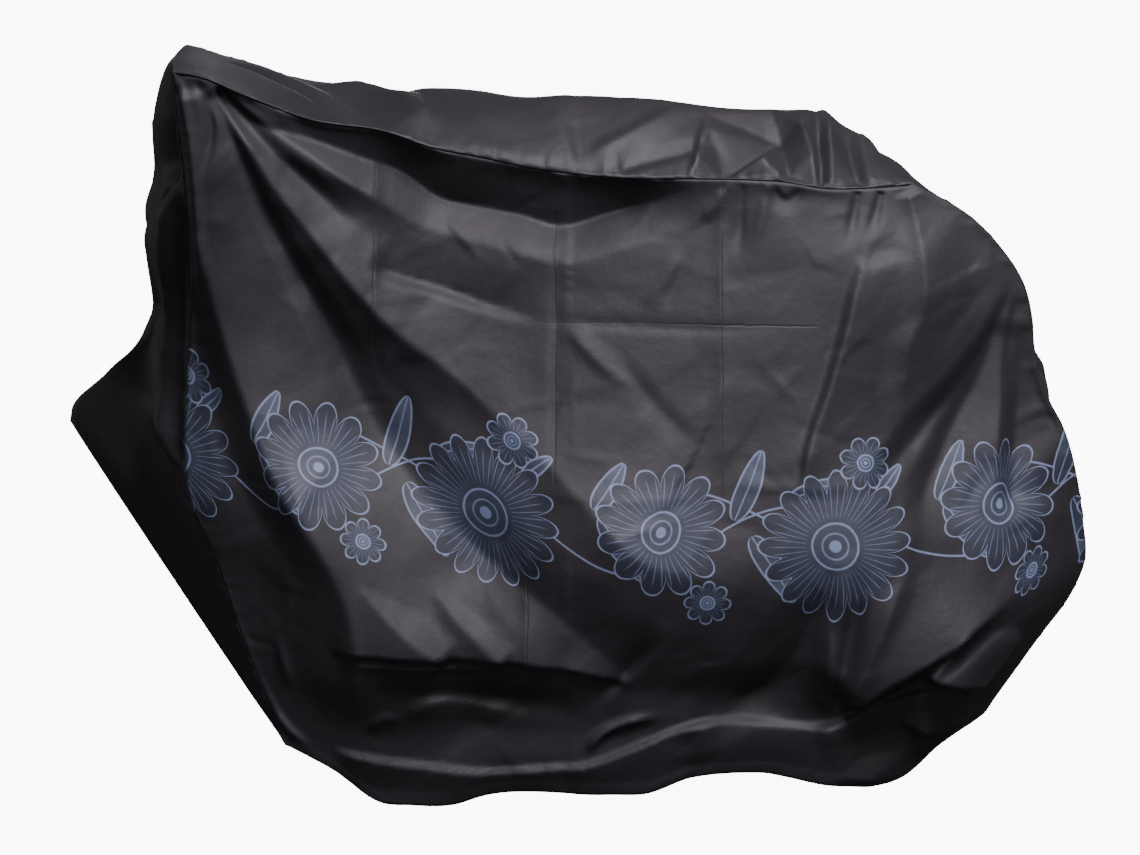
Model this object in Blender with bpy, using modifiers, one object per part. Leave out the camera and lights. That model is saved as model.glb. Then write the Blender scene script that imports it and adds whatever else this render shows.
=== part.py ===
"""A fitted bicycle cover of thin coated cloth, in the shape in which it hangs in use.

Three cut pieces: a near and a far side panel, and one long gusset strip sewn between them,
which runs up the front, over the top and down the rear. The front end of the strip is
lifted into a flap that stands out forward. The cover is hollow and open below.

X runs along the cover with the front at -X, -Y is the near side and Z is up. Heights in
the tables are measured from the lowest point of the hem. The origin is the point under the
top where the cover is held up. All sizes are in metres.
"""

from collections import namedtuple

import bpy
import bmesh
import numpy as np

# Driving sizes
CLOTH = 0.002
SEAM_GAP = 0.0003
SUPPORT_HEIGHT = 0.985
STRIP_WIDTH = 0.30
NEAR_COLUMNS = 54
FAR_COLUMNS = 27
PANEL_ROWS = 32
STRIP_COLUMNS = 8
SEAM_CALM = 0.022
CURVE_STEPS = 24
SMALLEST_SEAM_ANGLE = 0.5

# A fold that starts narrow is at its full width after this share of its length
GROWN_SHARE = 0.6
# A fold whose head is wider than this share fades in as it fades out, and any other starts at once
WIDE_HEAD = 0.7
QUICK_LEAD = 0.06

# Tables
Point = namedtuple("Point", "x out z")
Section = namedtuple("Section", "share lip recess shoulder chest print_band belly tuck dip ledge")
Fold = namedtuple("Fold", "name head foot rise right left spread fade bow crisp")
Crest = namedtuple("Crest", "station x y z round")
Panel = namedtuple("Panel", "name side top front rear hem sections folds colour")

# Heights of a section's columns, as a share of the way from the hem to the top seam
SECTION_HEIGHTS = Section("height", 0.965, 0.92, 0.82, 0.66, 0.50, 0.36, 0.22, 0.115, 0.05)

# Near panel: seams and hem, from the front to the rear or from the hem upward.
# "out" is the distance from the middle plane.
NEAR_TOP = [
    Point(-0.558, 0.250, 1.058),
    Point(-0.529, 0.252, 1.055),
    Point(-0.455, 0.230, 1.022),
    Point(-0.365, 0.200, 0.981),
    Point(-0.266, 0.175, 0.958),
    Point(-0.202, 0.165, 0.928),
    Point(-0.075, 0.150, 0.898),
    Point(0.073, 0.150, 0.890),
    Point(0.245, 0.150, 0.887),
    Point(0.368, 0.145, 0.877),
    Point(0.440, 0.135, 0.877),
    Point(0.503, 0.125, 0.880),
]
NEAR_FRONT = [
    Point(-0.416, 0.335, 0.088),
    Point(-0.448, 0.325, 0.170),
    Point(-0.480, 0.310, 0.256),
    Point(-0.515, 0.290, 0.356),
    Point(-0.554, 0.270, 0.450),
    Point(-0.560, 0.250, 0.525),
    Point(-0.556, 0.230, 0.598),
    Point(-0.549, 0.220, 0.703),
    Point(-0.545, 0.230, 0.860),
    Point(-0.554, 0.245, 1.010),
    Point(-0.558, 0.250, 1.058),
]
NEAR_REAR = [
    Point(0.621, 0.220, 0.093),
    Point(0.661, 0.210, 0.149),
    Point(0.701, 0.205, 0.208),
    Point(0.750, 0.200, 0.281),
    Point(0.767, 0.195, 0.327),
    Point(0.763, 0.185, 0.386),
    Point(0.754, 0.175, 0.445),
    Point(0.733, 0.165, 0.519),
    Point(0.703, 0.155, 0.577),
    Point(0.687, 0.145, 0.636),
    Point(0.683, 0.140, 0.680),
    Point(0.670, 0.135, 0.731),
    Point(0.632, 0.130, 0.789),
    Point(0.586, 0.127, 0.834),
    Point(0.542, 0.125, 0.861),
    Point(0.503, 0.125, 0.880),
]
NEAR_HEM = [
    Point(-0.416, 0.335, 0.088),
    Point(-0.345, 0.350, 0.059),
    Point(-0.268, 0.365, 0.009),
    Point(-0.235, 0.365, 0.002),
    Point(-0.168, 0.360, 0.006),
    Point(-0.128, 0.350, 0.018),
    Point(0.051, 0.350, 0.018),
    Point(0.114, 0.352, 0.016),
    Point(0.177, 0.338, 0.035),
    Point(0.278, 0.335, 0.041),
    Point(0.400, 0.345, 0.022),
    Point(0.485, 0.325, 0.027),
    Point(0.548, 0.290, 0.070),
    Point(0.621, 0.220, 0.093),
]
# How far the panel stands outside the plain surface between its seams and its hem
NEAR_SECTIONS = [
    Section(0.00, 0.000, 0.000, 0.000, 0.000, 0.000, 0.000, 0.000, 0.000, 0.000),
    Section(0.12, -0.006, -0.006, 0.002, 0.010, 0.018, 0.024, 0.030, -0.016, -0.004),
    Section(0.30, -0.022, -0.036, -0.012, 0.020, 0.048, 0.070, 0.072, -0.016, -0.006),
    Section(0.50, -0.030, -0.058, -0.032, 0.024, 0.072, 0.098, 0.046, -0.012, -0.008),
    Section(0.70, -0.010, -0.018, -0.012, 0.034, 0.080, 0.098, 0.042, -0.012, -0.006),
    Section(0.86, -0.004, -0.004, 0.006, 0.036, 0.066, 0.076, 0.046, 0.000, -0.004),
    Section(1.00, 0.000, 0.000, 0.000, 0.000, 0.000, 0.000, 0.000, 0.000, 0.000),
]
# Folds of the near panel. Head and foot are (x, z) and rise is outward, so a trough is below 0.
# Right and left are the widths on either side of the crest for someone who walks from head to
# foot, seen from the near side. Spread is the share of its width that a fold has at its head,
# fade the share of its length over which it dies out, and bow its sideways bend at mid length.
NEAR_FOLDS = [
    Fold("front_strip", (-0.548, 1.045), (-0.522, 0.640), 0.016, 0.024, 0.024, 0.5, 0.5, 0.0, 0.4),
    Fold("strip_trough", (-0.525, 1.045), (-0.488, 0.740), -0.020, 0.024, 0.024, 0.4, 0.5, 0.0, 0.5),
    Fold("lit_column", (-0.515, 1.040), (-0.400, 0.500), 0.022, 0.050, 0.045, 0.3, 0.4, 0.0, 0.2),
    Fold("long_trough", (-0.508, 1.035), (-0.160, 0.500), -0.036, 0.050, 0.055, 0.2, 0.4, -0.034, 0.2),
    Fold("long_ridge", (-0.500, 1.036), (-0.010, 0.470), 0.046, 0.050, 0.140, 0.2, 0.5, -0.055, 0.7),
    Fold("short_trough", (-0.488, 1.028), (-0.240, 0.780), -0.022, 0.034, 0.036, 0.45, 0.4, -0.006, 0.3),
    Fold("short_ridge", (-0.480, 1.024), (-0.180, 0.770), 0.026, 0.034, 0.080, 0.45, 0.5, 0.004, 0.5),
    Fold("broad_trough", (-0.340, 0.640), (-0.060, 0.440), -0.016, 0.080, 0.060, 1.0, 0.4, 0.0, 0.0),
    Fold("hollow_front", (-0.480, 1.008), (-0.180, 0.858), -0.030, 0.034, 0.050, 0.45, 0.2, 0.0, 0.4),
    Fold("hollow_middle", (-0.240, 0.874), (0.010, 0.813), -0.034, 0.036, 0.070, 0.9, 0.3, 0.0, 0.6),
    Fold("hollow_rear", (0.245, 0.884), (-0.030, 0.815), -0.034, 0.070, 0.036, 0.3, 0.25, 0.0, 0.6),
    Fold("slant_fold", (0.448, 0.856), (0.315, 0.420), 0.036, 0.022, 0.120, 0.6, 0.5, 0.008, 0.7),
    Fold("slant_trough", (0.428, 0.850), (0.296, 0.430), -0.026, 0.034, 0.024, 0.6, 0.5, 0.008, 0.4),
    Fold("shoulder_ridge", (0.492, 0.870), (0.476, 0.540), 0.030, 0.070, 0.034, 0.6, 0.5, 0.016, 0.6),
    Fold("haunch_trough_a", (0.645, 0.740), (0.430, 0.480), -0.034, 0.036, 0.030, 0.4, 0.4, 0.015, 0.3),
    Fold("haunch_ridge_a", (0.650, 0.730), (0.515, 0.510), 0.026, 0.026, 0.026, 0.4, 0.4, 0.012, 0.4),
    Fold("haunch_trough_b", (0.610, 0.660), (0.505, 0.430), -0.030, 0.026, 0.030, 0.5, 0.4, 0.0, 0.3),
    Fold("haunch_ridge_b", (0.655, 0.700), (0.560, 0.400), 0.030, 0.050, 0.045, 0.5, 0.4, 0.0, 0.4),
    Fold("haunch_trough_c", (0.645, 0.640), (0.625, 0.400), -0.018, 0.030, 0.030, 0.8, 0.4, 0.0, 0.4),
    Fold("front_shelf", (-0.370, 0.232), (0.110, 0.172), 0.038, 0.032, 0.120, 1.0, 0.12, 0.0, 0.7),
    Fold("shelf_trough", (-0.330, 0.150), (0.060, 0.125), -0.016, 0.040, 0.050, 1.0, 0.3, 0.0, 0.2),
    Fold("front_hollow", (-0.480, 0.340), (-0.360, 0.120), -0.050, 0.050, 0.060, 0.5, 0.3, 0.0, 0.2),
    Fold("under_belly", (0.040, 0.250), (0.340, 0.190), -0.030, 0.070, 0.080, 1.0, 0.4, 0.0, 0.1),
    Fold("hem_ridge_front", (-0.370, 0.072), (0.060, 0.052), 0.028, 0.020, 0.040, 1.0, 0.12, -0.014, 0.8),
    Fold("hem_ridge_middle", (0.000, 0.044), (0.205, 0.114), 0.028, 0.024, 0.036, 1.0, 0.15, 0.0, 0.8),
    Fold("hem_ridge_rear", (0.160, 0.112), (0.400, 0.102), 0.030, 0.028, 0.045, 1.0, 0.12, 0.0, 0.8),
    Fold("hem_ridge_corner", (0.360, 0.098), (0.570, 0.178), 0.030, 0.028, 0.036, 1.0, 0.15, 0.0, 0.8),
    Fold("rear_fan_ridge", (0.620, 0.340), (0.385, 0.112), 0.038, 0.026, 0.090, 1.0, 0.2, 0.0, 0.6),
    Fold("rear_fan_trough", (0.605, 0.272), (0.375, 0.100), -0.034, 0.030, 0.026, 1.0, 0.2, 0.0, 0.4),
    Fold("rear_streak", (0.430, 0.360), (0.386, 0.115), -0.030, 0.030, 0.026, 0.8, 0.25, 0.0, 0.4),
]
NEAR_PANEL = Panel(
    "side_panel_near", -1, NEAR_TOP, NEAR_FRONT, NEAR_REAR, NEAR_HEM, NEAR_SECTIONS, NEAR_FOLDS,
    (0.024, 0.023, 0.027))

# Far panel
FAR_TOP = [
    Point(-0.605, 0.250, 1.042),
    Point(-0.500, 0.235, 1.012),
    Point(-0.350, 0.200, 0.970),
    Point(-0.150, 0.165, 0.912),
    Point(0.100, 0.155, 0.885),
    Point(0.300, 0.150, 0.878),
    Point(0.400, 0.142, 0.872),
    Point(0.495, 0.130, 0.850),
]
FAR_FRONT = [
    Point(-0.430, 0.335, 0.100),
    Point(-0.500, 0.310, 0.260),
    Point(-0.570, 0.270, 0.450),
    Point(-0.600, 0.240, 0.600),
    Point(-0.610, 0.225, 0.720),
    Point(-0.605, 0.235, 0.900),
    Point(-0.605, 0.250, 1.042),
]
FAR_REAR = [
    Point(0.630, 0.220, 0.100),
    Point(0.700, 0.205, 0.200),
    Point(0.752, 0.190, 0.320),
    Point(0.742, 0.175, 0.450),
    Point(0.695, 0.155, 0.580),
    Point(0.668, 0.145, 0.680),
    Point(0.618, 0.135, 0.775),
    Point(0.495, 0.130, 0.850),
]
FAR_HEM = [
    Point(-0.430, 0.335, 0.100),
    Point(-0.310, 0.358, 0.045),
    Point(-0.160, 0.362, 0.015),
    Point(-0.040, 0.345, 0.030),
    Point(0.100, 0.355, 0.015),
    Point(0.250, 0.340, 0.042),
    Point(0.400, 0.345, 0.022),
    Point(0.520, 0.310, 0.050),
    Point(0.630, 0.220, 0.100),
]
FAR_SECTIONS = [
    Section(0.00, 0.000, 0.000, 0.000, 0.000, 0.000, 0.000, 0.000, 0.000, 0.000),
    Section(0.15, -0.010, -0.014, 0.004, 0.016, 0.026, 0.034, 0.024, -0.010, -0.004),
    Section(0.40, -0.022, -0.042, -0.018, 0.026, 0.062, 0.086, 0.060, -0.004, -0.006),
    Section(0.65, -0.014, -0.026, -0.016, 0.032, 0.076, 0.094, 0.054, 0.002, -0.004),
    Section(0.85, -0.004, -0.008, 0.002, 0.032, 0.062, 0.074, 0.050, 0.004, -0.002),
    Section(1.00, 0.000, 0.000, 0.000, 0.000, 0.000, 0.000, 0.000, 0.000, 0.000),
]
FAR_FOLDS = [
    Fold("corner_ridge_a", (-0.565, 1.020), (-0.440, 0.520), 0.014, 0.050, 0.055, 0.1, 0.4, 0.0, 0.3),
    Fold("corner_trough", (-0.555, 1.015), (-0.300, 0.520), -0.020, 0.050, 0.060, 0.1, 0.4, -0.015, 0.2),
    Fold("corner_ridge_b", (-0.545, 1.012), (-0.120, 0.500), 0.022, 0.055, 0.110, 0.1, 0.5, -0.020, 0.5),
    Fold("corner_ridge_c", (-0.520, 1.000), (-0.190, 0.740), 0.014, 0.030, 0.070, 0.2, 0.5, 0.0, 0.5),
    Fold("seam_hollow", (-0.330, 0.920), (0.060, 0.835), -0.016, 0.040, 0.045, 0.4, 0.4, 0.010, 0.3),
    Fold("hump_ridge", (0.380, 0.850), (0.240, 0.430), 0.018, 0.050, 0.090, 0.3, 0.5, 0.0, 0.5),
    Fold("hump_trough", (0.430, 0.830), (0.360, 0.420), -0.016, 0.040, 0.045, 0.4, 0.4, 0.0, 0.4),
    Fold("haunch_ridge", (0.630, 0.720), (0.500, 0.420), 0.018, 0.050, 0.045, 0.4, 0.4, 0.0, 0.4),
    Fold("haunch_trough", (0.650, 0.640), (0.580, 0.420), -0.014, 0.035, 0.035, 0.6, 0.4, 0.0, 0.4),
    Fold("lower_shelf", (-0.300, 0.190), (0.180, 0.230), 0.016, 0.040, 0.090, 1.0, 0.2, 0.0, 0.6),
    Fold("hem_ridge", (-0.330, 0.072), (0.250, 0.066), 0.014, 0.018, 0.045, 1.0, 0.2, 0.010, 0.8),
    Fold("hem_ridge_rear", (0.220, 0.080), (0.560, 0.150), 0.015, 0.025, 0.045, 1.0, 0.2, -0.010, 0.8),
    Fold("rear_fan", (0.620, 0.320), (0.380, 0.120), 0.020, 0.035, 0.060, 1.0, 0.3, 0.0, 0.5),
    Fold("front_hollow", (-0.490, 0.330), (-0.370, 0.140), -0.022, 0.045, 0.050, 0.5, 0.4, 0.0, 0.2),
]
FAR_PANEL = Panel(
    "side_panel_far", 1, FAR_TOP, FAR_FRONT, FAR_REAR, FAR_HEM, FAR_SECTIONS, FAR_FOLDS,
    (0.024, 0.023, 0.027))

# Middle line of the strip. Stations run 0 to 1 up the front, 1 to 2 over the top and 2 to 3
# down the rear. Round is 1 for a tent-shaped cross section and 2 for an arched one.
CRESTS = [
    Crest(0.00, -0.765, -0.035, 0.500, 1.05),
    Crest(0.18, -0.757, -0.030, 0.530, 1.05),
    Crest(0.39, -0.712, -0.020, 0.575, 1.05),
    Crest(0.56, -0.650, 0.000, 0.635, 1.2),
    Crest(0.64, -0.644, 0.000, 0.675, 1.6),
    Crest(0.74, -0.650, 0.000, 0.780, 2.0),
    Crest(0.84, -0.625, 0.000, 0.860, 2.0),
    Crest(0.95, -0.626, 0.000, 0.985, 2.0),
    Crest(1.00, -0.590, 0.000, 1.052, 2.0),
    Crest(1.06, -0.515, 0.010, 1.043, 2.0),
    Crest(1.19, -0.360, 0.040, 1.013, 2.0),
    Crest(1.27, -0.275, 0.030, 0.993, 1.8),
    Crest(1.40, -0.140, 0.020, 0.997, 1.6),
    Crest(1.52, -0.010, 0.000, 0.995, 1.6),
    Crest(1.62, 0.095, 0.000, 0.993, 1.5),
    Crest(1.75, 0.250, 0.000, 0.975, 1.4),
    Crest(1.81, 0.315, 0.000, 0.972, 1.4),
    Crest(1.865, 0.375, 0.000, 0.980, 1.3),
    Crest(1.92, 0.418, 0.000, 0.946, 1.5),
    Crest(1.96, 0.456, 0.000, 0.921, 1.6),
    Crest(2.00, 0.500, 0.000, 0.886, 1.8),
    Crest(2.05, 0.530, 0.000, 0.848, 2.0),
    Crest(2.16, 0.624, 0.000, 0.768, 2.0),
    Crest(2.29, 0.680, 0.000, 0.660, 2.0),
    Crest(2.54, 0.756, 0.000, 0.440, 2.0),
    Crest(2.67, 0.776, 0.000, 0.322, 2.0),
    Crest(2.84, 0.712, 0.000, 0.200, 2.0),
    Crest(3.00, 0.632, 0.000, 0.096, 2.0),
]
# Folds of the strip. Head and foot are (station, distance across from the near seam).
STRIP_FOLDS = [
    Fold("flap_edge", (0.35, 0.002), (0.56, 0.120), 0.010, 0.022, 0.090, 0.6, 0.4, 0.0, 0.7),
    Fold("flap_valley", (0.41, 0.006), (0.68, 0.085), -0.055, 0.050, 0.030, 0.5, 0.5, 0.0, 0.3),
    Fold("front_pleat_a", (0.98, 0.060), (0.66, 0.045), -0.024, 0.034, 0.034, 0.6, 0.4, 0.0, 0.3),
    Fold("front_pleat_b", (0.95, 0.115), (0.70, 0.090), 0.020, 0.034, 0.034, 0.6, 0.4, 0.0, 0.4),
    Fold("front_pleat_c", (0.93, 0.200), (0.66, 0.220), -0.020, 0.040, 0.040, 0.6, 0.4, 0.0, 0.3),
    Fold("taut_ridge", (1.085, 0.290), (1.290, 0.010), 0.009, 0.050, 0.090, 1.0, 0.1, 0.0, 0.7),
    Fold("ridge_trough", (1.200, 0.220), (1.360, 0.020), -0.014, 0.060, 0.045, 1.0, 0.2, 0.0, 0.2),
    Fold("top_crease", (1.515, 0.020), (1.510, 0.160), 0.012, 0.020, 0.060, 1.0, 0.3, 0.0, 0.7),
    Fold("hump_valley_a", (1.830, 0.130), (1.735, 0.010), -0.024, 0.030, 0.030, 0.8, 0.1, 0.0, 0.5),
    Fold("hump_crease", (1.862, 0.160), (1.868, 0.000), 0.020, 0.030, 0.026, 0.7, 0.05, 0.0, 0.8),
    Fold("hump_valley_b", (1.840, 0.110), (1.832, 0.010), -0.014, 0.022, 0.022, 0.8, 0.1, 0.0, 0.4),
    Fold("hump_valley_far", (1.850, 0.170), (1.760, 0.290), -0.020, 0.030, 0.030, 0.8, 0.1, 0.0, 0.4),
    Fold("rear_top_crease", (1.925, 0.130), (1.930, 0.020), 0.010, 0.024, 0.024, 1.0, 0.2, 0.0, 0.6),
    Fold("rear_dish", (2.250, 0.060), (2.700, 0.240), -0.014, 0.060, 0.060, 1.0, 0.4, 0.0, 0.1),
]
STRIP_COLOUR = (0.027, 0.026, 0.029)


def clear_scene():
    for item in list(bpy.data.objects):
        bpy.data.objects.remove(item, do_unlink=True)


def smooth_step(share):
    """Eased share between 0 and 1."""
    share = np.clip(share, 0.0, 1.0)
    return share * share * (3.0 - 2.0 * share)


def smooth_values(knots, values, where):
    """Values at any place between the knots, on a curve through every knot."""
    knots = np.asarray(knots, float)
    values = np.asarray(values, float)
    where = np.asarray(where, float)
    slopes = np.gradient(values, knots)
    span = np.clip(np.searchsorted(knots, where, side="right") - 1, 0, len(knots) - 2)
    width = knots[span + 1] - knots[span]
    share = (where - knots[span]) / width
    square = share * share
    cube = square * share
    return (
        (2 * cube - 3 * square + 1) * values[span]
        + (cube - 2 * square + share) * width * slopes[span]
        + (3 * square - 2 * cube) * values[span + 1]
        + (cube - square) * width * slopes[span + 1]
    )


def seam_curve(rows, side, count):
    """Evenly spaced points on a smooth curve through a table's rows."""
    corners = np.array([(row.x, side * row.out, row.z) for row in rows])
    reach = np.concatenate([[0.0], np.cumsum(np.linalg.norm(np.diff(corners, axis=0), axis=1))])
    fine = np.linspace(0.0, reach[-1], CURVE_STEPS * (len(rows) - 1) + 1)
    curve = np.stack([smooth_values(reach, corners[:, axis], fine) for axis in range(3)], axis=1)
    run = np.concatenate([[0.0], np.cumsum(np.linalg.norm(np.diff(curve, axis=0), axis=1))])
    even = np.linspace(0.0, run[-1], count + 1)
    return np.stack([np.interp(even, run, curve[:, axis]) for axis in range(3)], axis=1)


def fold_height(fold, along, up):
    """Outward height of one fold at the places (along, up)."""
    run_along = fold.foot[0] - fold.head[0]
    run_up = fold.foot[1] - fold.head[1]
    length = np.hypot(run_along, run_up)
    from_along = along - fold.head[0]
    from_up = up - fold.head[1]
    share = (from_along * run_along + from_up * run_up) / length**2
    aside = (from_up * run_along - from_along * run_up) / length
    aside = aside - 4.0 * fold.bow * share * (1.0 - share)
    growth = fold.spread + (1.0 - fold.spread) * np.clip(share / GROWN_SHARE, 0.0, 1.0)
    width = np.where(aside > 0.0, fold.left, fold.right) * growth
    nearness = np.clip(1.0 - np.abs(aside) / width, 0.0, 1.0)
    profile = (1.0 - fold.crisp) * smooth_step(nearness) + fold.crisp * nearness**2
    lead = fold.fade if fold.spread > WIDE_HEAD else QUICK_LEAD
    ends = smooth_step(share / lead) * smooth_step((1.0 - share) / fold.fade)
    return fold.rise * growth * profile * ends


def section_bulge(sections, across, height):
    """How far a panel stands out at the shares (across, height) of its width and height."""
    levels = [0.0] + sorted(SECTION_HEIGHTS[1:]) + [1.0]
    shares = [row.share for row in sections]
    columns = [np.zeros(len(sections))]
    columns += [[row[index] for row in sections] for index in range(len(SECTION_HEIGHTS) - 1, 0, -1)]
    columns += [np.zeros(len(sections))]
    line = across[0]
    at_levels = np.array([smooth_values(shares, column, line) for column in columns])
    return np.stack(
        [smooth_values(levels, at_levels[:, index], height[:, index]) for index in range(len(line))], axis=1)


def panel_grid(panel, columns, rows):
    """Points of a side panel, by row from the hem up and by column from the front."""
    top = seam_curve(panel.top, panel.side, columns)
    hem = seam_curve(panel.hem, panel.side, columns)
    front = seam_curve(panel.front, panel.side, rows)
    rear = seam_curve(panel.rear, panel.side, rows)
    across, height = np.meshgrid(np.linspace(0, 1, columns + 1), np.linspace(0, 1, rows + 1))
    u = across[:, :, None]
    v = height[:, :, None]
    corners = (
        (1 - u) * (1 - v) * hem[0] + u * (1 - v) * hem[-1] + (1 - u) * v * top[0] + u * v * top[-1]
    )
    grid = (1 - v) * hem[None] + v * top[None] + (1 - u) * front[:, None] + u * rear[:, None] - corners
    along = grid[:, :, 0].copy()
    up = grid[:, :, 2].copy()
    to_seam = np.minimum(np.minimum(across, 1 - across) * np.ptp(top[:, 0]), (1 - height) * np.ptp(front[:, 2]))
    calm = smooth_step(to_seam / SEAM_CALM)
    out = sum(fold_height(fold, along, up) for fold in panel.folds) * calm
    grid[:, :, 1] += panel.side * (out + section_bulge(panel.sections, across, height))
    return grid


def seam_of(grid):
    """A panel's sewn edge: up the front, over the top and down the rear."""
    return np.concatenate([grid[:, 0], grid[-1, 1:], grid[-2::-1, -1]])


def inner_neighbours(grid):
    """The points next to a panel's sewn edge, in the same order as seam_of."""
    rows = grid.shape[0] - 1
    front = grid[:, 1].copy()
    front[rows] = grid[rows - 1, 1]
    top = grid[-2, 1:].copy()
    top[-1] = grid[-2, -2]
    return np.concatenate([front, top, grid[-2::-1, -2]])


def outward_directions(grid):
    """Unit normals of a grid of points."""
    down = np.gradient(grid, axis=0)
    side = np.gradient(grid, axis=1)
    normal = np.cross(down, side)
    return normal / np.linalg.norm(normal, axis=2, keepdims=True)


def station_shares(columns, rows):
    """Station of every point along a panel's sewn edge."""
    return np.concatenate([
        np.linspace(0, 1, rows + 1),
        1 + np.linspace(0, 1, columns + 1)[1:],
        2 + np.linspace(0, 1, rows + 1)[1:],
    ])


def at_stations(points, own, wanted):
    """Points of a seam, filled in on its straight stretches at the wanted stations."""
    return np.stack([np.interp(wanted, own, points[:, axis]) for axis in range(3)], axis=1)


def strip_grid(near, far, stations, strip_columns):
    """Points of the strip, by station from the front hem and by column from the near seam."""
    knots = [row.station for row in CRESTS]
    middle = np.stack(
        [smooth_values(knots, [row[axis] for row in CRESTS], stations) for axis in (1, 2, 3)], axis=1)
    roundness = np.interp(stations, knots, [row.round for row in CRESTS])[:, None]
    across = np.linspace(0, 1, strip_columns + 1)
    arch = 1 - np.abs(2 * across[None] - 1) ** roundness
    straight = near[:, None] + (far - near)[:, None] * across[None, :, None]
    lift = middle - (near + far) / 2
    grid = straight + lift[:, None] * arch[:, :, None]
    place, distance = np.meshgrid(stations, across * STRIP_WIDTH, indexing="ij")
    calm = smooth_step(np.minimum(across, 1 - across) * STRIP_WIDTH / SEAM_CALM)[None]
    out = sum(fold_height(fold, place, distance) for fold in STRIP_FOLDS) * calm
    return grid - outward_directions(grid) * out[:, :, None]


def square_to(direction, seam):
    """Unit directions away from a seam, square to its run."""
    run = np.gradient(seam, axis=0)
    run /= np.linalg.norm(run, axis=1, keepdims=True)
    square = direction - np.sum(direction * run, axis=1, keepdims=True) * run
    return square / np.linalg.norm(square, axis=1, keepdims=True)


def part_seam(seam, panel_inside, strip_inside):
    """The seam's two edges, drawn back so that cloth of full thickness clears cloth."""
    to_panel = square_to(panel_inside - seam, seam)
    to_strip = square_to(strip_inside - seam, seam)
    angle = np.arccos(np.clip(np.sum(to_panel * to_strip, axis=1), -1, 1))
    half = np.maximum(angle, SMALLEST_SEAM_ANGLE) / 2
    back = (SEAM_GAP / 2 + CLOTH / 2 * np.cos(half)) / np.sin(half)
    return seam + to_panel * back[:, None], seam + to_strip * back[:, None]


def set_panel_seam(grid, edge):
    """Write the drawn-back sewn edge into a panel's grid."""
    rows = grid.shape[0] - 1
    columns = grid.shape[1] - 1
    grid[:, 0] = edge[:rows + 1]
    grid[-1, 1:] = edge[rows + 1:rows + columns + 1]
    grid[-2::-1, -1] = edge[rows + columns + 1:]


def cloth_material(name, colour):
    material = bpy.data.materials.new(name)
    material.use_nodes = True
    surface = material.node_tree.nodes["Principled BSDF"]
    surface.inputs["Base Color"].default_value = (*colour, 1)
    surface.inputs["Roughness"].default_value = 0.5
    surface.inputs["Metallic"].default_value = 0.0
    return material


def cloth_object(name, grid, middles, colour, outward, collection):
    """A sheet through a grid of points, thickened equally to both sides.

    Middles are the true places of the cells' centres: each cell is split along the diagonal
    that comes nearer to its own, so that a fold's crest runs along edges.
    """
    mesh = bpy.data.meshes.new(name)
    shape = bmesh.new()
    verts = [[shape.verts.new((x, y, z - SUPPORT_HEIGHT)) for x, y, z in line] for line in grid]
    rising = np.linalg.norm((grid[:-1, :-1] + grid[1:, 1:]) / 2 - middles, axis=2)
    falling = np.linalg.norm((grid[1:, :-1] + grid[:-1, 1:]) / 2 - middles, axis=2)
    for row, (lower, upper) in enumerate(zip(verts, verts[1:])):
        for column in range(len(lower) - 1):
            ring = [lower[column], lower[column + 1], upper[column + 1], upper[column]]
            if falling[row, column] < rising[row, column]:
                ring = ring[1:] + ring[:1]
            shape.faces.new(ring[:3])
            shape.faces.new((ring[2], ring[3], ring[0]))
    shape.normal_update()
    middle = shape.faces[:][len(shape.faces) // 2]
    if middle.normal.dot(outward) < 0:
        bmesh.ops.reverse_faces(shape, faces=shape.faces)
    shape.to_mesh(mesh)
    shape.free()
    mesh.shade_smooth()
    item = bpy.data.objects.new(name, mesh)
    item.data.materials.append(cloth_material(name + "_cloth", colour))
    collection.objects.link(item)
    wall = item.modifiers.new("cloth thickness", "SOLIDIFY")
    wall.thickness = CLOTH
    wall.offset = 0.0
    return item


def main():
    clear_scene()
    collection = bpy.data.collections.new("bicycle_cover")
    bpy.context.scene.collection.children.link(collection)
    near_fine = panel_grid(NEAR_PANEL, 2 * NEAR_COLUMNS, 2 * PANEL_ROWS)
    far_fine = panel_grid(FAR_PANEL, 2 * FAR_COLUMNS, 2 * PANEL_ROWS)
    near = near_fine[::2, ::2].copy()
    far = far_fine[::2, ::2].copy()
    fine_stations = station_shares(2 * NEAR_COLUMNS, 2 * PANEL_ROWS)
    fine_far_seam = at_stations(seam_of(far), station_shares(FAR_COLUMNS, PANEL_ROWS), fine_stations)
    strip_fine = strip_grid(seam_of(near_fine), fine_far_seam, fine_stations, 2 * STRIP_COLUMNS)
    strip = strip_fine[::2, ::2].copy()
    stations = fine_stations[::2]
    far_stations = station_shares(FAR_COLUMNS, PANEL_ROWS)
    near_edge, strip_near = part_seam(seam_of(near), inner_neighbours(near), strip[:, 1])
    strip_inside = at_stations(strip[:, -2], stations, far_stations)
    far_edge, strip_far = part_seam(seam_of(far), inner_neighbours(far), strip_inside)
    set_panel_seam(near, near_edge)
    set_panel_seam(far, far_edge)
    strip[:, 0] = strip_near
    strip[:, -1] = at_stations(strip_far, far_stations, stations)
    near_middles = near_fine[1::2, 1::2]
    far_middles = far_fine[1::2, 1::2]
    strip_middles = strip_fine[1::2, 1::2]
    cloth_object(NEAR_PANEL.name, near, near_middles, NEAR_PANEL.colour, (0, -1, 0), collection)
    cloth_object(FAR_PANEL.name, far, far_middles, FAR_PANEL.colour, (0, 1, 0), collection)
    cloth_object("gusset", strip, strip_middles, STRIP_COLOUR, (0, 0, 1), collection)


main()
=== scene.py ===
import math
from collections import namedtuple

import bpy
import numpy as np
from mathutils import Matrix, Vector
from mathutils.geometry import delaunay_2d_cdt


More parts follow.
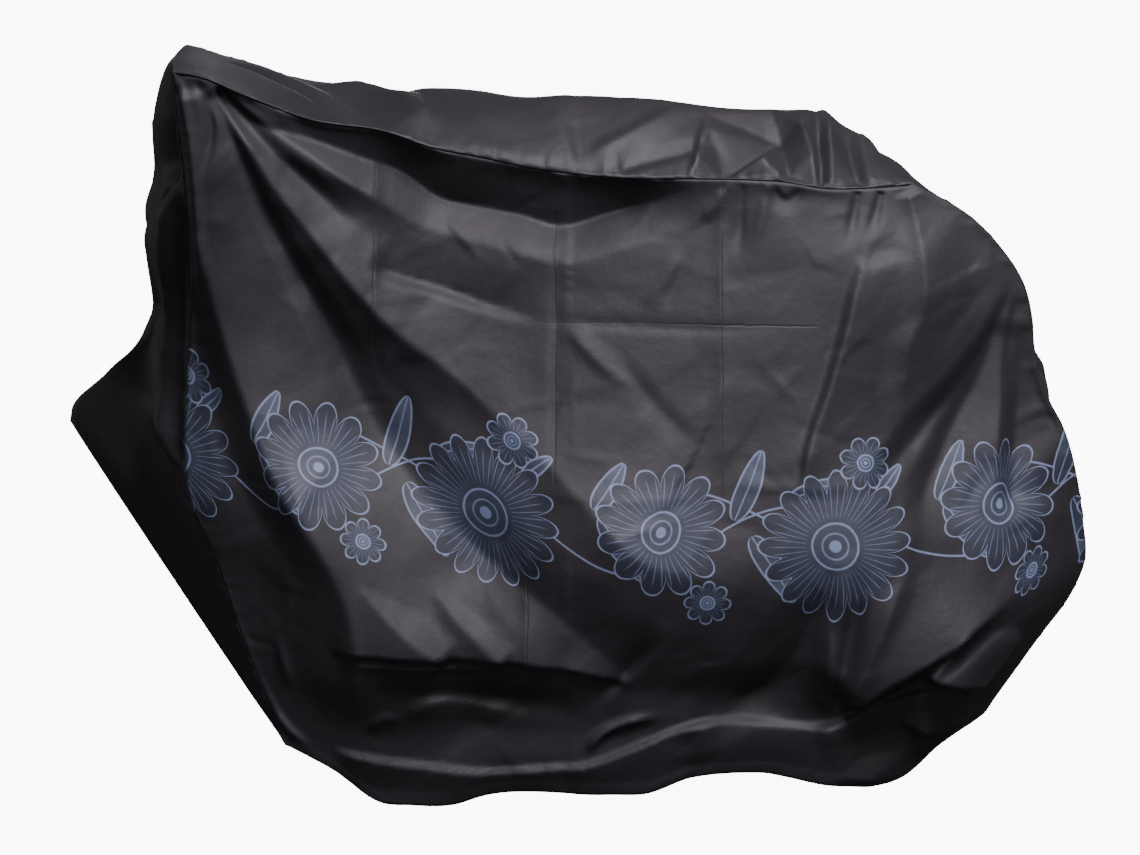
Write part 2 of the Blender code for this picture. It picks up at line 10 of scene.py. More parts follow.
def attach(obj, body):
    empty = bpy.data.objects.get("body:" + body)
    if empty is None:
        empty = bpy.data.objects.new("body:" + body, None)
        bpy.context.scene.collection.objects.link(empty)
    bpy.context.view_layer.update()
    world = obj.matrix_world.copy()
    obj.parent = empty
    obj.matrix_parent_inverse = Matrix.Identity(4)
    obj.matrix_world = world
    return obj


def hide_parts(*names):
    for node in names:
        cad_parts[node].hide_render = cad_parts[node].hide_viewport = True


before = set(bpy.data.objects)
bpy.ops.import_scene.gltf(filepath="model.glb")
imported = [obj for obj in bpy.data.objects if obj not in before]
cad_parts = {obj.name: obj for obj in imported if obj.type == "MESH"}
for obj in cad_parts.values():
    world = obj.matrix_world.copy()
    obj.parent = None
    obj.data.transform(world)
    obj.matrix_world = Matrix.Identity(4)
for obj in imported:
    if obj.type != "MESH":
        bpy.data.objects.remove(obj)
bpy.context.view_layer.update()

# x runs from the front to the rear, y from the near side to the far side, z up, in metres.
# The rows of the tables are in millimetres, and heights in them start at the lowest point of the hem,
# which is supportHeight below the origin. Each row of an edge is (x, distance outward, height).
supportHeight = 0.985
section = namedtuple("section", "share lip recess shoulder chest band belly tuck dip ledge")
fold = namedtuple("fold", "name path rise right left start lead fade crisp")
sectionHeights = section("height", 0.965, 0.92, 0.82, 0.66, 0.50, 0.36, 0.22, 0.115, 0.05)
seamFlat = 0.004                # the puckers beside a seam begin over this much
hemRound = 0.003                # the turned hem rises over this much


def smoothStep(share):
    share = np.clip(share, 0.0, 1.0)
    return share * share * (3.0 - 2.0 * share)


def valuesThrough(knots, values, where):
    # a smooth curve through every knot
    knots, values, where = (np.asarray(row, float) for row in (knots, values, where))
    slopes = np.gradient(values, knots)
    span = np.clip(np.searchsorted(knots, where, side="right") - 1, 0, len(knots) - 2)
    width = knots[span + 1] - knots[span]
    share = (where - knots[span]) / width
    square = share * share
    cube = square * share
    return (
        (2 * cube - 3 * square + 1) * values[span]
        + (cube - 2 * square + share) * width * slopes[span]
        + (3 * square - 2 * cube) * values[span + 1]
        + (cube - square) * width * slopes[span + 1]
    )


def runAlong(row):
    # the run from the first point of a row to each of its points
    return np.concatenate([[0.0], np.cumsum(np.linalg.norm(np.diff(row, axis=0), axis=1))])


def pointsAt(row, knots, where):
    return np.stack([np.interp(where, knots, column) for column in row.T], axis=1)


def smoothPath(corners, stepsPerSpan):
    # points on a smooth curve through the corners, in any number of dimensions
    corners = np.asarray(corners, float)
    reach = runAlong(corners)
    fine = np.linspace(0.0, reach[-1], stepsPerSpan * (len(corners) - 1) + 1)
    return np.stack([valuesThrough(reach, column, fine) for column in corners.T], axis=1)


def tableFold(row):
    # a fold from a table, in metres
    path = [(along / 1000, up / 1000) for along, up in row.path]
    return row._replace(path=path, rise=row.rise / 1000, right=row.right / 1000, left=row.left / 1000)


def seamCurve(rows, side, count):
    curve = smoothPath([(x / 1000, side * out / 1000, z / 1000) for x, out, z in rows], 24)
    run = runAlong(curve)
    return pointsAt(curve, run, np.linspace(0.0, run[-1], count + 1))


def alongPath(path, along, up):
    # for every place: its share of the path's length, and how far it lies to the left of the walk
    corners = smoothPath(path, 8) if len(path) > 2 else np.asarray(path, float)
    steps = np.diff(corners, axis=0)
    lengths = np.linalg.norm(steps, axis=1)
    reach = runAlong(corners)
    best = np.full(along.shape, 1e9)
    share = np.zeros(along.shape)
    aside = np.zeros(along.shape)
    for start, step, length, before in zip(corners, steps, lengths, reach):
        fromAlong = along - start[0]
        fromUp = up - start[1]
        onStep = np.clip((fromAlong * step[0] + fromUp * step[1]) / length**2, 0.0, 1.0)
        away = np.hypot(fromAlong - onStep * step[0], fromUp - onStep * step[1])
        nearer = away < best
        best = np.where(nearer, away, best)
        share = np.where(nearer, (before + onStep * length) / reach[-1], share)
        leftward = fromUp * step[0] - fromAlong * step[1]
        aside = np.where(nearer, np.copysign(away, leftward), aside)
    return share, aside


def foldHeight(row, along, up):
    corners = np.asarray(row.path, float)
    reach = max(row.right, row.left)
    low = corners.min(axis=0) - reach
    high = corners.max(axis=0) + reach
    near = (along > low[0]) & (along < high[0]) & (up > low[1]) & (up < high[1])
    height = np.zeros(along.shape)
    if not near.any():
        return height
    share, aside = alongPath(row.path, along[near], up[near])
    growth = row.start + (1.0 - row.start) * np.clip(share / 0.6, 0.0, 1.0)
    width = np.where(aside > 0.0, row.left, row.right) * growth
    nearness = np.clip(1.0 - np.abs(aside) / width, 0.0, 1.0)
    profile = (1.0 - row.crisp) * smoothStep(nearness) + row.crisp * nearness**1.5
    ends = smoothStep(share / max(row.lead, 1e-3)) * smoothStep((1.0 - share) / max(row.fade, 1e-3))
    height[near] = row.rise * growth * profile * ends
    return height


def wander(along, up, cell, seed):
    # smooth random heights between -1 and 1, alike each run
    cells = 66
    table = np.random.default_rng(seed).uniform(-1.0, 1.0, (cells + 1, cells + 1))
    column = np.floor(along / cell).astype(int)
    line = np.floor(up / cell).astype(int)
    a = along / cell - column
    b = up / cell - line
    a = a**3 * (a * (a * 6 - 15) + 10)
    b = b**3 * (b * (b * 6 - 15) + 10)
    column %= cells
    line %= cells
    lower = table[column, line] * (1 - a) + table[column + 1, line] * a
    upper = table[column, line + 1] * (1 - a) + table[column + 1, line + 1] * a
    return lower * (1 - b) + upper * b


def facets(along, up, settings):
    # flat facets with straight creases between them, as in paper-thin coated cloth
    cell = settings["cell"]
    chance = np.random.default_rng(settings["seed"])
    turn = settings["turn"]
    stretch = settings["stretch"]
    a = (along * math.cos(turn) + up * math.sin(turn)) / stretch
    b = (up * math.cos(turn) - along * math.sin(turn)) * stretch
    low = (a.min() - cell, b.min() - cell)
    high = (a.max() + cell, b.max() + cell)
    count = int((high[0] - low[0]) * (high[1] - low[1]) / cell**2) + 8
    left, foot, right, head = low[0] - 1, low[1] - 1, high[0] + 1, high[1] + 1
    corners = np.concatenate([
        chance.uniform(low, high, (count, 2)), [(left, foot), (right, foot), (left, head), (right, head)]])
    heights = chance.uniform(-1.0, 1.0, len(corners))
    places = [Vector(corner) for corner in corners.tolist()]
    points, _, triangles, origins, _, _ = delaunay_2d_cdt(places, [], [], 0, 1e-6)
    field = np.zeros(along.shape)
    for triangle in triangles:
        tips = np.array([points[index] for index in triangle])
        lowest, highest = tips.min(axis=0), tips.max(axis=0)
        near = (a >= lowest[0]) & (a <= highest[0]) & (b >= lowest[1]) & (b <= highest[1])
        if not near.any():
            continue
        levels = [heights[origins[index][0]] for index in triangle]
        inside, values = onTriangle(a[near], b[near], tips, levels)
        field[near] = np.where(inside, values, field[near])
    return settings["rise"] * field


def onTriangle(a, b, tips, levels):
    # where the places lie in the triangle, and the level there, between those of its three tips
    p, q, r = tips
    twice = (q[0] - p[0]) * (r[1] - p[1]) - (r[0] - p[0]) * (q[1] - p[1])
    x, y = a - p[0], b - p[1]
    toSecond = (x * (r[1] - p[1]) - y * (r[0] - p[0])) / twice
    toThird = (y * (q[0] - p[0]) - x * (q[1] - p[1])) / twice
    inside = (toSecond >= -1e-9) & (toThird >= -1e-9) & (toSecond + toThird <= 1 + 1e-9)
    return inside, levels[0] + (levels[1] - levels[0]) * toSecond + (levels[2] - levels[0]) * toThird


def creasedPlanes(along, up, corners, edges):
    # flat facets between given corners, each (along, up, rise)
    corners = [[value / 1000 for value in corner] for corner in corners]
    places = [Vector(corner[:2]) for corner in corners]
    points, _, triangles, origins, _, _ = delaunay_2d_cdt(places, edges, [], 0, 1e-6)
    field = np.zeros(along.shape)
    for triangle in triangles:
        if not all(origins[index] for index in triangle):
            continue
        levels = [corners[origins[index][0]][2] for index in triangle]
        inside, values = onTriangle(along, up, [points[index] for index in triangle], levels)
        field = np.where(inside, values, field)
    return field


def crumples(along, up, settings):
    # short sharp wrinkles in random directions, as thin coated cloth keeps them
    chance = np.random.default_rng(settings["seed"])
    height = np.zeros(along.shape)
    low = (along.min(), up.min())
    high = (along.max(), up.max())
    for _ in range(settings["count"]):
        x = chance.uniform(low[0], high[0])
        z = chance.uniform(low[1], high[1])
        turn = chance.normal(settings["lean"], settings["spread"])
        length = chance.uniform(*settings["length"])
        width = chance.uniform(*settings["width"])
        rise = chance.uniform(*settings["rise"]) * chance.choice((-1.0, 1.0))
        bend = chance.uniform(-0.12, 0.12) * length
        run = np.array((math.cos(turn), math.sin(turn))) * length / 2
        middle = np.array((x, z)) + np.array((-run[1], run[0])) / length * bend
        path = [(x - run[0], z - run[1]), tuple(middle), (x + run[0], z + run[1])]
        other = width * chance.uniform(0.6, 1.8)
        height += foldHeight(fold("crumple", path, rise, width, other, 1.0, 0.4, 0.4, 0.8), along, up)
    return height


def puckers(settings, swell, toSeam):
    # small ripples in the cloth beside a seam
    reach = np.clip(1 - toSeam / settings["puckerReach"], 0, 1)
    return settings["pucker"] * swell * reach * smoothStep(toSeam / seamFlat)


def sectionBulge(rows, across, height):
    # how far the cloth swells between its four edges, where the swell is nothing
    levels = [0.0] + sorted(sectionHeights[1:]) + [1.0]
    shares = [0.0] + [row.share for row in rows] + [1.0]
    edge = [0.0] * len(shares)
    columns = [
        [0.0] + [row[index] / 1000 for row in rows] + [0.0]
        for index in range(len(sectionHeights) - 1, 0, -1)]
    atLevels = np.array([valuesThrough(shares, column, across[0]) for column in [edge, *columns, edge]])
    lines = [valuesThrough(levels, atLevels[:, index], height[:, index]) for index in range(across.shape[1])]
    return np.stack(lines, axis=1)


def outwardOf(grid):
    normal = np.cross(np.gradient(grid, axis=0), np.gradient(grid, axis=1))
    return normal / np.linalg.norm(normal, axis=2, keepdims=True)


nearPanel = {
    "columns": 240,
    "rows": 188,
    "side": -1,
    "seamCalm": 0.012,          # folds die out over this much before a seam
    "hemBand": 0.018,
    "hemStep": 0.0012,
    "pucker": 0.0016,
    "puckerPitch": 0.021,
    "puckerReach": 0.03,
    "restlessness": 0.0022,
    "top": [
        (-558, 250, 1058), (-529, 252, 1055), (-455, 230, 1022), (-365, 200, 984), (-266, 175, 965),
        (-202, 165, 941), (-126, 155, 924), (-60, 150, 909), (73, 150, 894), (245, 150, 892),
        (310, 148, 888), (368, 145, 878), (440, 135, 877), (503, 125, 880),
    ],
    "front": [
        (-416, 335, 88), (-448, 325, 170), (-480, 310, 256), (-515, 290, 356), (-554, 270, 450),
        (-560, 250, 525), (-556, 230, 598), (-549, 220, 703), (-545, 230, 860), (-554, 245, 1010),
        (-558, 250, 1058),
    ],
    "rear": [
        (621, 220, 93), (661, 210, 149), (701, 205, 208), (750, 200, 281), (767, 195, 327), (763, 185, 386),
        (754, 175, 445), (733, 165, 519), (703, 155, 577), (687, 145, 636), (683, 140, 680),
        (670, 135, 731), (632, 130, 789), (586, 127, 834), (542, 125, 861), (503, 125, 880),
    ],
    "hem": [
        (-416, 335, 88), (-345, 344, 52), (-268, 352, 3), (-235, 353, 2), (-168, 352, 2), (-128, 344, 13),
        (51, 340, 13), (114, 336, 13), (177, 320, 30), (278, 313, 36), (400, 320, 17), (485, 305, 22),
        (548, 280, 67), (621, 220, 93),
    ],
    "sections": [
        section(0.12, -3, -3, 4, 18, 34, 44, 34, 12, 4),
        section(0.3, -8, -14, -10, 6, 36, 62, 50, 10, 8),
        section(0.5, -8, -6, 16, 44, 62, 80, 52, 12, 10),
        section(0.7, -4, -2, 18, 52, 74, 88, 56, 12, 10),
        section(0.86, -2, 0, 18, 20, 28, 46, 50, 20, 10),
    ],
    # Rise is outward. Right and left are the widths beside the crest for a walk from the
    # path's head to its foot, seen from the near side, and start is the share of both at the head.
    "folds": [
        # the fan below the raised front corner
        fold("edgeStreak", [(-524, 1046), (-508, 1000), (-507, 968), (-513, 940), (-522, 900)], -8, 12, 12,
            0.5, 0.02, 0.5, 0.6),
        fold("edgeRidge", [(-550, 1048), (-536, 960), (-533, 860), (-534, 760)], 8, 13, 16, 0.7, 0.02, 0.5,
            0.6),
        fold("litColumn", [(-548, 1035), (-541, 940), (-533, 816), (-522, 773), (-507, 713), (-488, 648),
            (-466, 585), (-430, 495), (-380, 417), (-342, 356), (-314, 276)], 34, 55, 160, 0.35, 0.02, 0.25,
            0.7),
        fold("facetLip", [(-430, 560), (-385, 450), (-350, 380), (-324, 320), (-308, 250), (-308, 180),
            (-325, 110)], 24, 130, 170, 0.6, 0.3, 0.2, 0.95),
        fold("frontLight", [(-484, 270), (-466, 215), (-446, 170), (-412, 115), (-370, 80)], 7, 12, 10, 1.0,
            0.2, 0.2, 0.9),
        fold("longValley", [(-515, 1041), (-482, 974), (-454, 900), (-424, 827), (-386, 753), (-348, 679),
            (-319, 609), (-275, 526), (-187, 420)], -14, 34, 40, 0.15, 0.02, 0.5, 0.4),
        # the long tension ridge: narrow at the corner, broad where it turns under the belly
        fold("longRidge", [(-510, 1041), (-468, 975), (-428, 903), (-376, 831), (-320, 758), (-256, 686),
            (-164, 611), (-101, 554)], 36, 70, 150, 0.1, 0.02, 0.5, 0.9),
        fold("longRidgeLow", [(-376, 831), (-320, 758), (-256, 686), (-164, 611), (-101, 554), (-43, 506),
            (43, 423), (100, 373), (186, 347), (271, 333)], 38, 180, 270, 0.3, 0.35, 0.25, 0.9),
        fold("shortValley", [(-497, 1030), (-455, 975), (-400, 918), (-352, 868), (-302, 812)], -12, 26, 26,
            0.4, 0.02, 0.5, 0.3),
        fold("shortRidge", [(-490, 1034), (-437, 985), (-372, 935), (-315, 892), (-250, 845), (-190, 800)],
            28, 46, 80, 0.3, 0.02, 0.5, 0.8),
        fold("facetCrease", [(-180, 836), (-128, 770)], 3, 12, 20, 1.0, 0.2, 0.4, 0.9),
        # the shadowed hollow under the top seam and its lower rim
        fold("hollow", [(-500, 1036), (-445, 984), (-375, 957), (-307, 927), (-247, 901), (-193, 862),
            (-133, 846), (-74, 834), (-15, 818), (58, 836), (128, 857), (185, 884)], -34, 50, 80, 0.55,
            0.01, 0.16, 0.9),
        # behind the fan
        fold("middleDiagonal", [(162, 790), (103, 699)], 2.8, 16, 24, 1.0, 0.3, 0.4, 0.8),
        fold("middleDiagonalB", [(180, 800), (130, 690)], -2.2, 14, 14, 1.0, 0.3, 0.4, 0.8),
        fold("middleDrag", [(-7, 682), (44, 632), (116, 586)], 4, 16, 30, 1.0, 0.2, 0.5, 0.8),
        fold("middleDragB", [(60, 650), (140, 560), (210, 500)], -4, 30, 20, 1.0, 0.3, 0.5, 0.6),
        fold("seamPleatA", [(236, 884), (170, 810)], 4, 18, 20, 0.4, 0.05, 0.6, 0.7),
        fold("seamPleatB", [(252, 884), (244, 760)], -4, 12, 12, 0.5, 0.05, 0.6, 0.6),
        fold("seamPleatC", [(290, 884), (262, 780)], 5, 16, 22, 0.5, 0.05, 0.6, 0.7),
        fold("notch", [(288, 884), (314, 860), (342, 880)], -5, 26, 10, 1.0, 0.3, 0.3, 0.3),
        # this one and the next run upward, from where they are narrow
        fold("slantFold", [(330, 440), (345, 520), (375, 600), (400, 680), (418, 750), (428, 775),
            (448, 830)], 14, 110, 14, 0.35, 0.12, 0.35, 1.0),
        fold("slantShade", [(422, 766), (437, 782), (492, 793)], -4, 22, 24, 1.0, 0.2, 0.3, 0.6),
        fold("pleatA", [(420, 872), (412, 830), (400, 786)], -6, 12, 12, 0.7, 0.05, 0.6, 0.4),
        fold("pleatB", [(454, 871), (446, 840), (433, 800)], -6, 12, 13, 0.7, 0.05, 0.6, 0.4),
        fold("haunchRidge", [(492, 872), (506, 820), (514, 773), (512, 700), (495, 665), (485, 600),
            (482, 520)], 11, 36, 90, 0.7, 0.03, 0.4, 1.0),
        fold("haunchValleyA", [(655, 738), (614, 655), (577, 601), (508, 526), (455, 470), (425, 430)], -18,
            36, 130, 0.4, 0.12, 0.25, 0.6),
        fold("haunchValleyB", [(632, 690), (606, 610), (572, 550), (545, 500), (515, 440), (500, 390)], -14,
            34, 160, 0.5, 0.1, 0.2, 0.6),
        fold("haunchCrestB", [(657, 735), (640, 660), (634, 560), (622, 423)], 9, 90, 14, 0.4, 0.12, 0.3,
            1.0),
        fold("haunchValleyC", [(676, 705), (664, 600), (655, 500), (646, 400)], -26, 28, 100, 0.6, 0.85,
            0.12, 0.6),
        # the belly and what hangs below it
        fold("bellyValley", [(-400, 780), (-348, 679), (-319, 609), (-275, 526), (-187, 420), (-100, 342),
            (-14, 283)], -26, 190, 100, 0.5, 0.6, 0.3, 0.3),
        fold("bellyCrest", [(0, 455), (100, 366), (186, 340), (290, 324), (370, 330)], 3, 50, 140, 1.0, 0.3,
            0.4, 0.9),
        fold("frontSpike", [(-425, 260), (-405, 165)], 6, 12, 16, 1.0, 0.4, 0.5, 0.8),
        fold("facetDragA", [(-302, 335), (-245, 275), (-180, 222)], 15, 75, 40, 0.15, 0.08, 0.05, 0.9),
        fold("facetDragC", [(-199, 325), (-150, 268), (-95, 218)], 11, 50, 34, 0.15, 0.08, 0.05, 0.9),
        fold("facetEdge", [(-187, 420), (-100, 342), (-14, 283), (91, 187)], -18, 90, 90, 0.8, 0.25, 0.05,
            0.7),
        fold("shelf", [(-355, 244), (-308, 241), (-199, 233), (-71, 220), (14, 204), (100, 176)], 17, 11,
            130, 0.9, 0.12, 0.12, 0.9),
        fold("shelfLip", [(-330, 226), (-199, 219), (-71, 206)], 10, 14, 10, 1.0, 0.2, 0.3, 0.9),
        fold("shelfUnder", [(-350, 190), (-150, 165), (60, 140)], -10, 34, 36, 1.0, 0.35, 0.3, 0.2),
        fold("lowTuckA", [(-296, 112), (-270, 137), (-235, 128)], 8, 26, 14, 1.0, 0.35, 0.4, 0.9),
        fold("lowTuckB", [(-245, 129), (-219, 151), (-100, 141), (-60, 130)], 10, 30, 16, 1.0, 0.3, 0.3,
            0.9),
        fold("underBelly", [(20, 190), (140, 170), (240, 160)], -10, 50, 150, 1.0, 0.35, 0.35, 0.0),
        fold("bellyTurn", [(385, 380), (371, 334), (358, 287), (329, 223), (289, 165), (200, 132)], -22, 80,
            50, 0.7, 0.3, 0.25, 0.7),
        fold("hemRidgeA", [(-350, 84), (-263, 68), (-188, 58), (-124, 50), (-73, 52), (25, 59)], 13, 52, 6,
            1.0, 0.1, 0.15, 0.9),
        fold("hemRidgeB", [(-20, 52), (25, 59), (98, 84), (175, 110), (229, 114)], 12, 60, 6, 1.0, 0.15,
            0.15, 0.9),
        fold("hemRidgeC", [(150, 104), (229, 113), (307, 108), (369, 105), (410, 112)], 10, 75, 9, 1.0,
            0.15, 0.15, 0.9),
        fold("hemRidgeD", [(350, 100), (394, 111), (467, 147), (536, 168), (560, 166)], 10, 70, 9, 1.0,
            0.15, 0.2, 0.9),
        fold("pocket", [(22, 75), (40, 99), (98, 124), (140, 126)], 12, 12, 14, 1.0, 0.2, 0.4, 0.9),
        # the fan above the gathered rear corner
        fold("fanLit", [(672, 318), (602, 276), (538, 233), (475, 197), (398, 132)], 36, 110, 32, 1.0, 0.4,
            0.12, 0.9),
        fold("fanDark", [(655, 290), (590, 256), (480, 180), (392, 118)], -14, 12, 30, 1.0, 0.4, 0.12, 0.6),
        fold("fanUpper", [(500, 380), (450, 270), (399, 146)], 12, 30, 26, 1.0, 0.45, 0.12, 0.8),
        fold("fanStreak", [(425, 390), (408, 260), (388, 128)], -14, 22, 20, 1.0, 0.4, 0.12, 0.4),
        fold("fanLeft", [(372, 300), (378, 210), (382, 125)], 10, 30, 18, 1.0, 0.4, 0.15, 0.8),
        # sharp creases from being packed
        fold("packA", [(-282, 950), (-282, 660)], 2, 20, 14, 1.0, 0.15, 0.2, 1.0),
        fold("packB", [(-20, 840), (-25, 480)], -2, 14, 22, 1.0, 0.15, 0.2, 1.0),
        fold("packC", [(219, 880), (222, 680), (219, 450)], 2.4, 22, 14, 1.0, 0.03, 0.2, 1.0),
        fold("packD", [(645, 600), (632, 430)], 2, 14, 20, 1.0, 0.2, 0.2, 1.0),
        fold("packE", [(-62, 330), (-61, 210)], 2.2, 12, 20, 1.0, 0.2, 0.1, 1.0),
        fold("packLevelA", [(-292, 776), (-244, 754), (-189, 736), (-131, 715), (-22, 687)], -13, 14, 60,
            1.0, 0.1, 0.5, 0.9),
        fold("packLevelB", [(-40, 690), (103, 684), (219, 680), (345, 690)], -2.4, 14, 18, 1.0, 0.1, 0.4,
            1.0),
        fold("packLevelC", [(220, 470), (330, 462), (460, 470)], 2.4, 16, 20, 1.0, 0.2, 0.4, 0.9),
        fold("packLevelD", [(-60, 462), (80, 450), (219, 455)], 2, 16, 20, 1.0, 0.2, 0.4, 0.9),
    ],
    # flat facets with sharp creases: corners (x, height, rise), then the creases between them
    "planes": [
        ([(575, 262, 0), (593, 254, 1), (650, 232, 14), (602, 168, 46), (521, 195, 40), (530, 178, 0),
          (606, 148, 0), (672, 222, 0), (505, 205, 0), (655, 250, 0)],
         [(1, 2), (2, 3), (3, 4), (4, 1), (1, 3)]),
        ([(500, 168, 0), (525, 177, 0), (548, 169, 4), (596, 118, 16), (519, 100, 26), (600, 100, 0),
          (515, 84, 0), (480, 120, 0), (580, 165, 0)],
         [(1, 2), (2, 3), (3, 4), (4, 1), (2, 4)]),
        ([(385, 20, 0), (396, 33, 4), (417, 58, 0), (443, 68, 0), (478, 50, 6), (440, 30, 12), (400, 75, 0),
          (490, 70, 0), (500, 30, 0), (440, 0, 0)],
         [(1, 2), (2, 3), (3, 4), (5, 1), (5, 2), (5, 3), (5, 4)]),
    ],
    "facets": [
        {"seed": 41, "cell": 0.115, "turn": 0.9, "stretch": 1.25, "rise": 0.003},
        {"seed": 43, "cell": 0.052, "turn": 0.5, "stretch": 1.35, "rise": 0.0015},
    ],
    "crumple": {
        "seed": 11, "count": 150, "lean": 0.6, "spread": 0.8, "length": (0.04, 0.14),
        "width": (0.008, 0.02), "rise": (0.0005, 0.0016),
    },
}

farPanel = {
    "columns": 120,
    "rows": 94,
    "side": 1,
    "seamCalm": 0.016,
    "hemBand": 0.018,
    "hemStep": 0.0012,
    "pucker": 0.0014,
    "puckerPitch": 0.034,
    "puckerReach": 0.03,
    "restlessness": 0.003,
    "top": [
        (-605, 250, 1042), (-500, 235, 1012), (-350, 200, 970), (-150, 165, 912), (100, 155, 885),
        (300, 150, 878), (400, 142, 872), (495, 130, 850),
    ],
    "front": [
        (-430, 335, 100), (-500, 310, 260), (-570, 270, 450), (-600, 240, 600), (-610, 225, 720),
        (-605, 235, 900), (-605, 250, 1042),
    ],
    "rear": [
        (630, 220, 100), (700, 205, 200), (752, 190, 320), (742, 175, 450), (695, 155, 580),
        (668, 145, 680), (618, 135, 775), (495, 130, 850),
    ],
    "hem": [
        (-430, 335, 100), (-310, 358, 45), (-160, 362, 15), (-40, 345, 30), (100, 355, 15), (250, 340, 42),
        (400, 345, 22), (520, 310, 50), (630, 220, 100),
    ],
    "sections": [
        section(0.15, -10, -14, 4, 16, 26, 34, 24, -10, -4),
        section(0.4, -22, -42, -18, 26, 62, 86, 60, -4, -6),
        section(0.65, -14, -26, -16, 32, 76, 94, 54, 2, -4),
        section(0.85, -4, -8, 2, 32, 62, 74, 50, 4, -2),
    ],
    "folds": [
        fold("cornerRidgeA", [(-568, 1022), (-520, 800), (-440, 520)], 18, 50, 55, 0.15, 0.03, 0.4, 0.6),
        fold("cornerValley", [(-558, 1018), (-460, 800), (-300, 520)], -24, 50, 60, 0.15, 0.03, 0.4, 0.3),
        fold("cornerRidgeB", [(-548, 1015), (-400, 790), (-260, 640), (-100, 500)], 30, 60, 120, 0.15, 0.03,
            0.5, 0.8),
        fold("cornerValleyB", [(-535, 1008), (-400, 880), (-260, 740)], -12, 30, 30, 0.3, 0.03, 0.4, 0.3),
        fold("cornerRidgeC", [(-520, 1002), (-360, 880), (-190, 740)], 18, 30, 75, 0.3, 0.03, 0.5, 0.8),
        fold("seamHollow", [(-350, 930), (-140, 872), (80, 842)], -20, 40, 30, 0.6, 0.2, 0.3, 0.3),
        fold("seamRim", [(-340, 900), (-140, 846), (60, 808), (200, 850)], 10, 60, 30, 0.8, 0.2, 0.3, 0.8),
        fold("rearRidge", [(380, 850), (310, 640), (240, 430)], 24, 30, 90, 0.5, 0.05, 0.5, 0.8),
        fold("rearValley", [(430, 830), (400, 620), (360, 420)], -16, 40, 45, 0.4, 0.1, 0.4, 0.3),
        fold("haunchRidge", [(630, 720), (560, 560), (500, 420)], 24, 40, 45, 0.4, 0.05, 0.4, 0.8),
        fold("haunchValley", [(650, 640), (600, 520), (580, 420)], -18, 35, 35, 0.6, 0.05, 0.4, 0.3),
        fold("shelf", [(-320, 196), (-80, 236), (180, 222)], 22, 32, 100, 1.0, 0.15, 0.2, 0.8),
        fold("shelfEdge", [(-160, 400), (20, 300), (190, 215)], 14, 80, 60, 0.8, 0.3, 0.1, 0.7),
        fold("underShelf", [(-300, 150), (0, 160), (240, 150)], -14, 36, 36, 1.0, 0.3, 0.3, 0.2),
        fold("hemRidge", [(-330, 82), (-80, 60), (120, 70), (260, 92)], 18, 20, 40, 1.0, 0.1, 0.2, 0.85),
        fold("hemRidgeB", [(230, 86), (400, 100), (560, 160)], 20, 26, 45, 1.0, 0.1, 0.2, 0.85),
        fold("rearFan", [(620, 330), (500, 220), (390, 125)], 26, 28, 70, 1.0, 0.2, 0.2, 0.7),
        fold("rearFanDark", [(610, 290), (490, 190), (380, 105)], -20, 26, 26, 1.0, 0.2, 0.2, 0.3),
        fold("frontHollow", [(-500, 380), (-440, 250), (-370, 130)], -30, 50, 60, 0.6, 0.2, 0.3, 0.2),
        fold("packA", [(-270, 940), (-270, 640)], 4.5, 34, 28, 1.0, 0.15, 0.2, 0.95),
        fold("packB", [(-10, 860), (-12, 480)], -4, 28, 30, 1.0, 0.15, 0.2, 0.95),
        fold("packC", [(230, 860), (230, 460)], 4.5, 28, 34, 1.0, 0.1, 0.2, 0.95),
        fold("packLevel", [(-280, 742), (-10, 682), (230, 676), (360, 690)], -4.5, 24, 30, 1.0, 0.1, 0.2,
            0.95),
    ],
    "facets": [
        {"seed": 45, "cell": 0.13, "turn": 2.3, "stretch": 1.25, "rise": 0.005},
        {"seed": 47, "cell": 0.07, "turn": 2.6, "stretch": 1.35, "rise": 0.002},
    ],
    "crumple": {
        "seed": 23, "count": 90, "lean": 2.4, "spread": 0.8, "length": (0.06, 0.18), "width": (0.014, 0.03),
        "rise": (0.0006, 0.0018),
    },
}


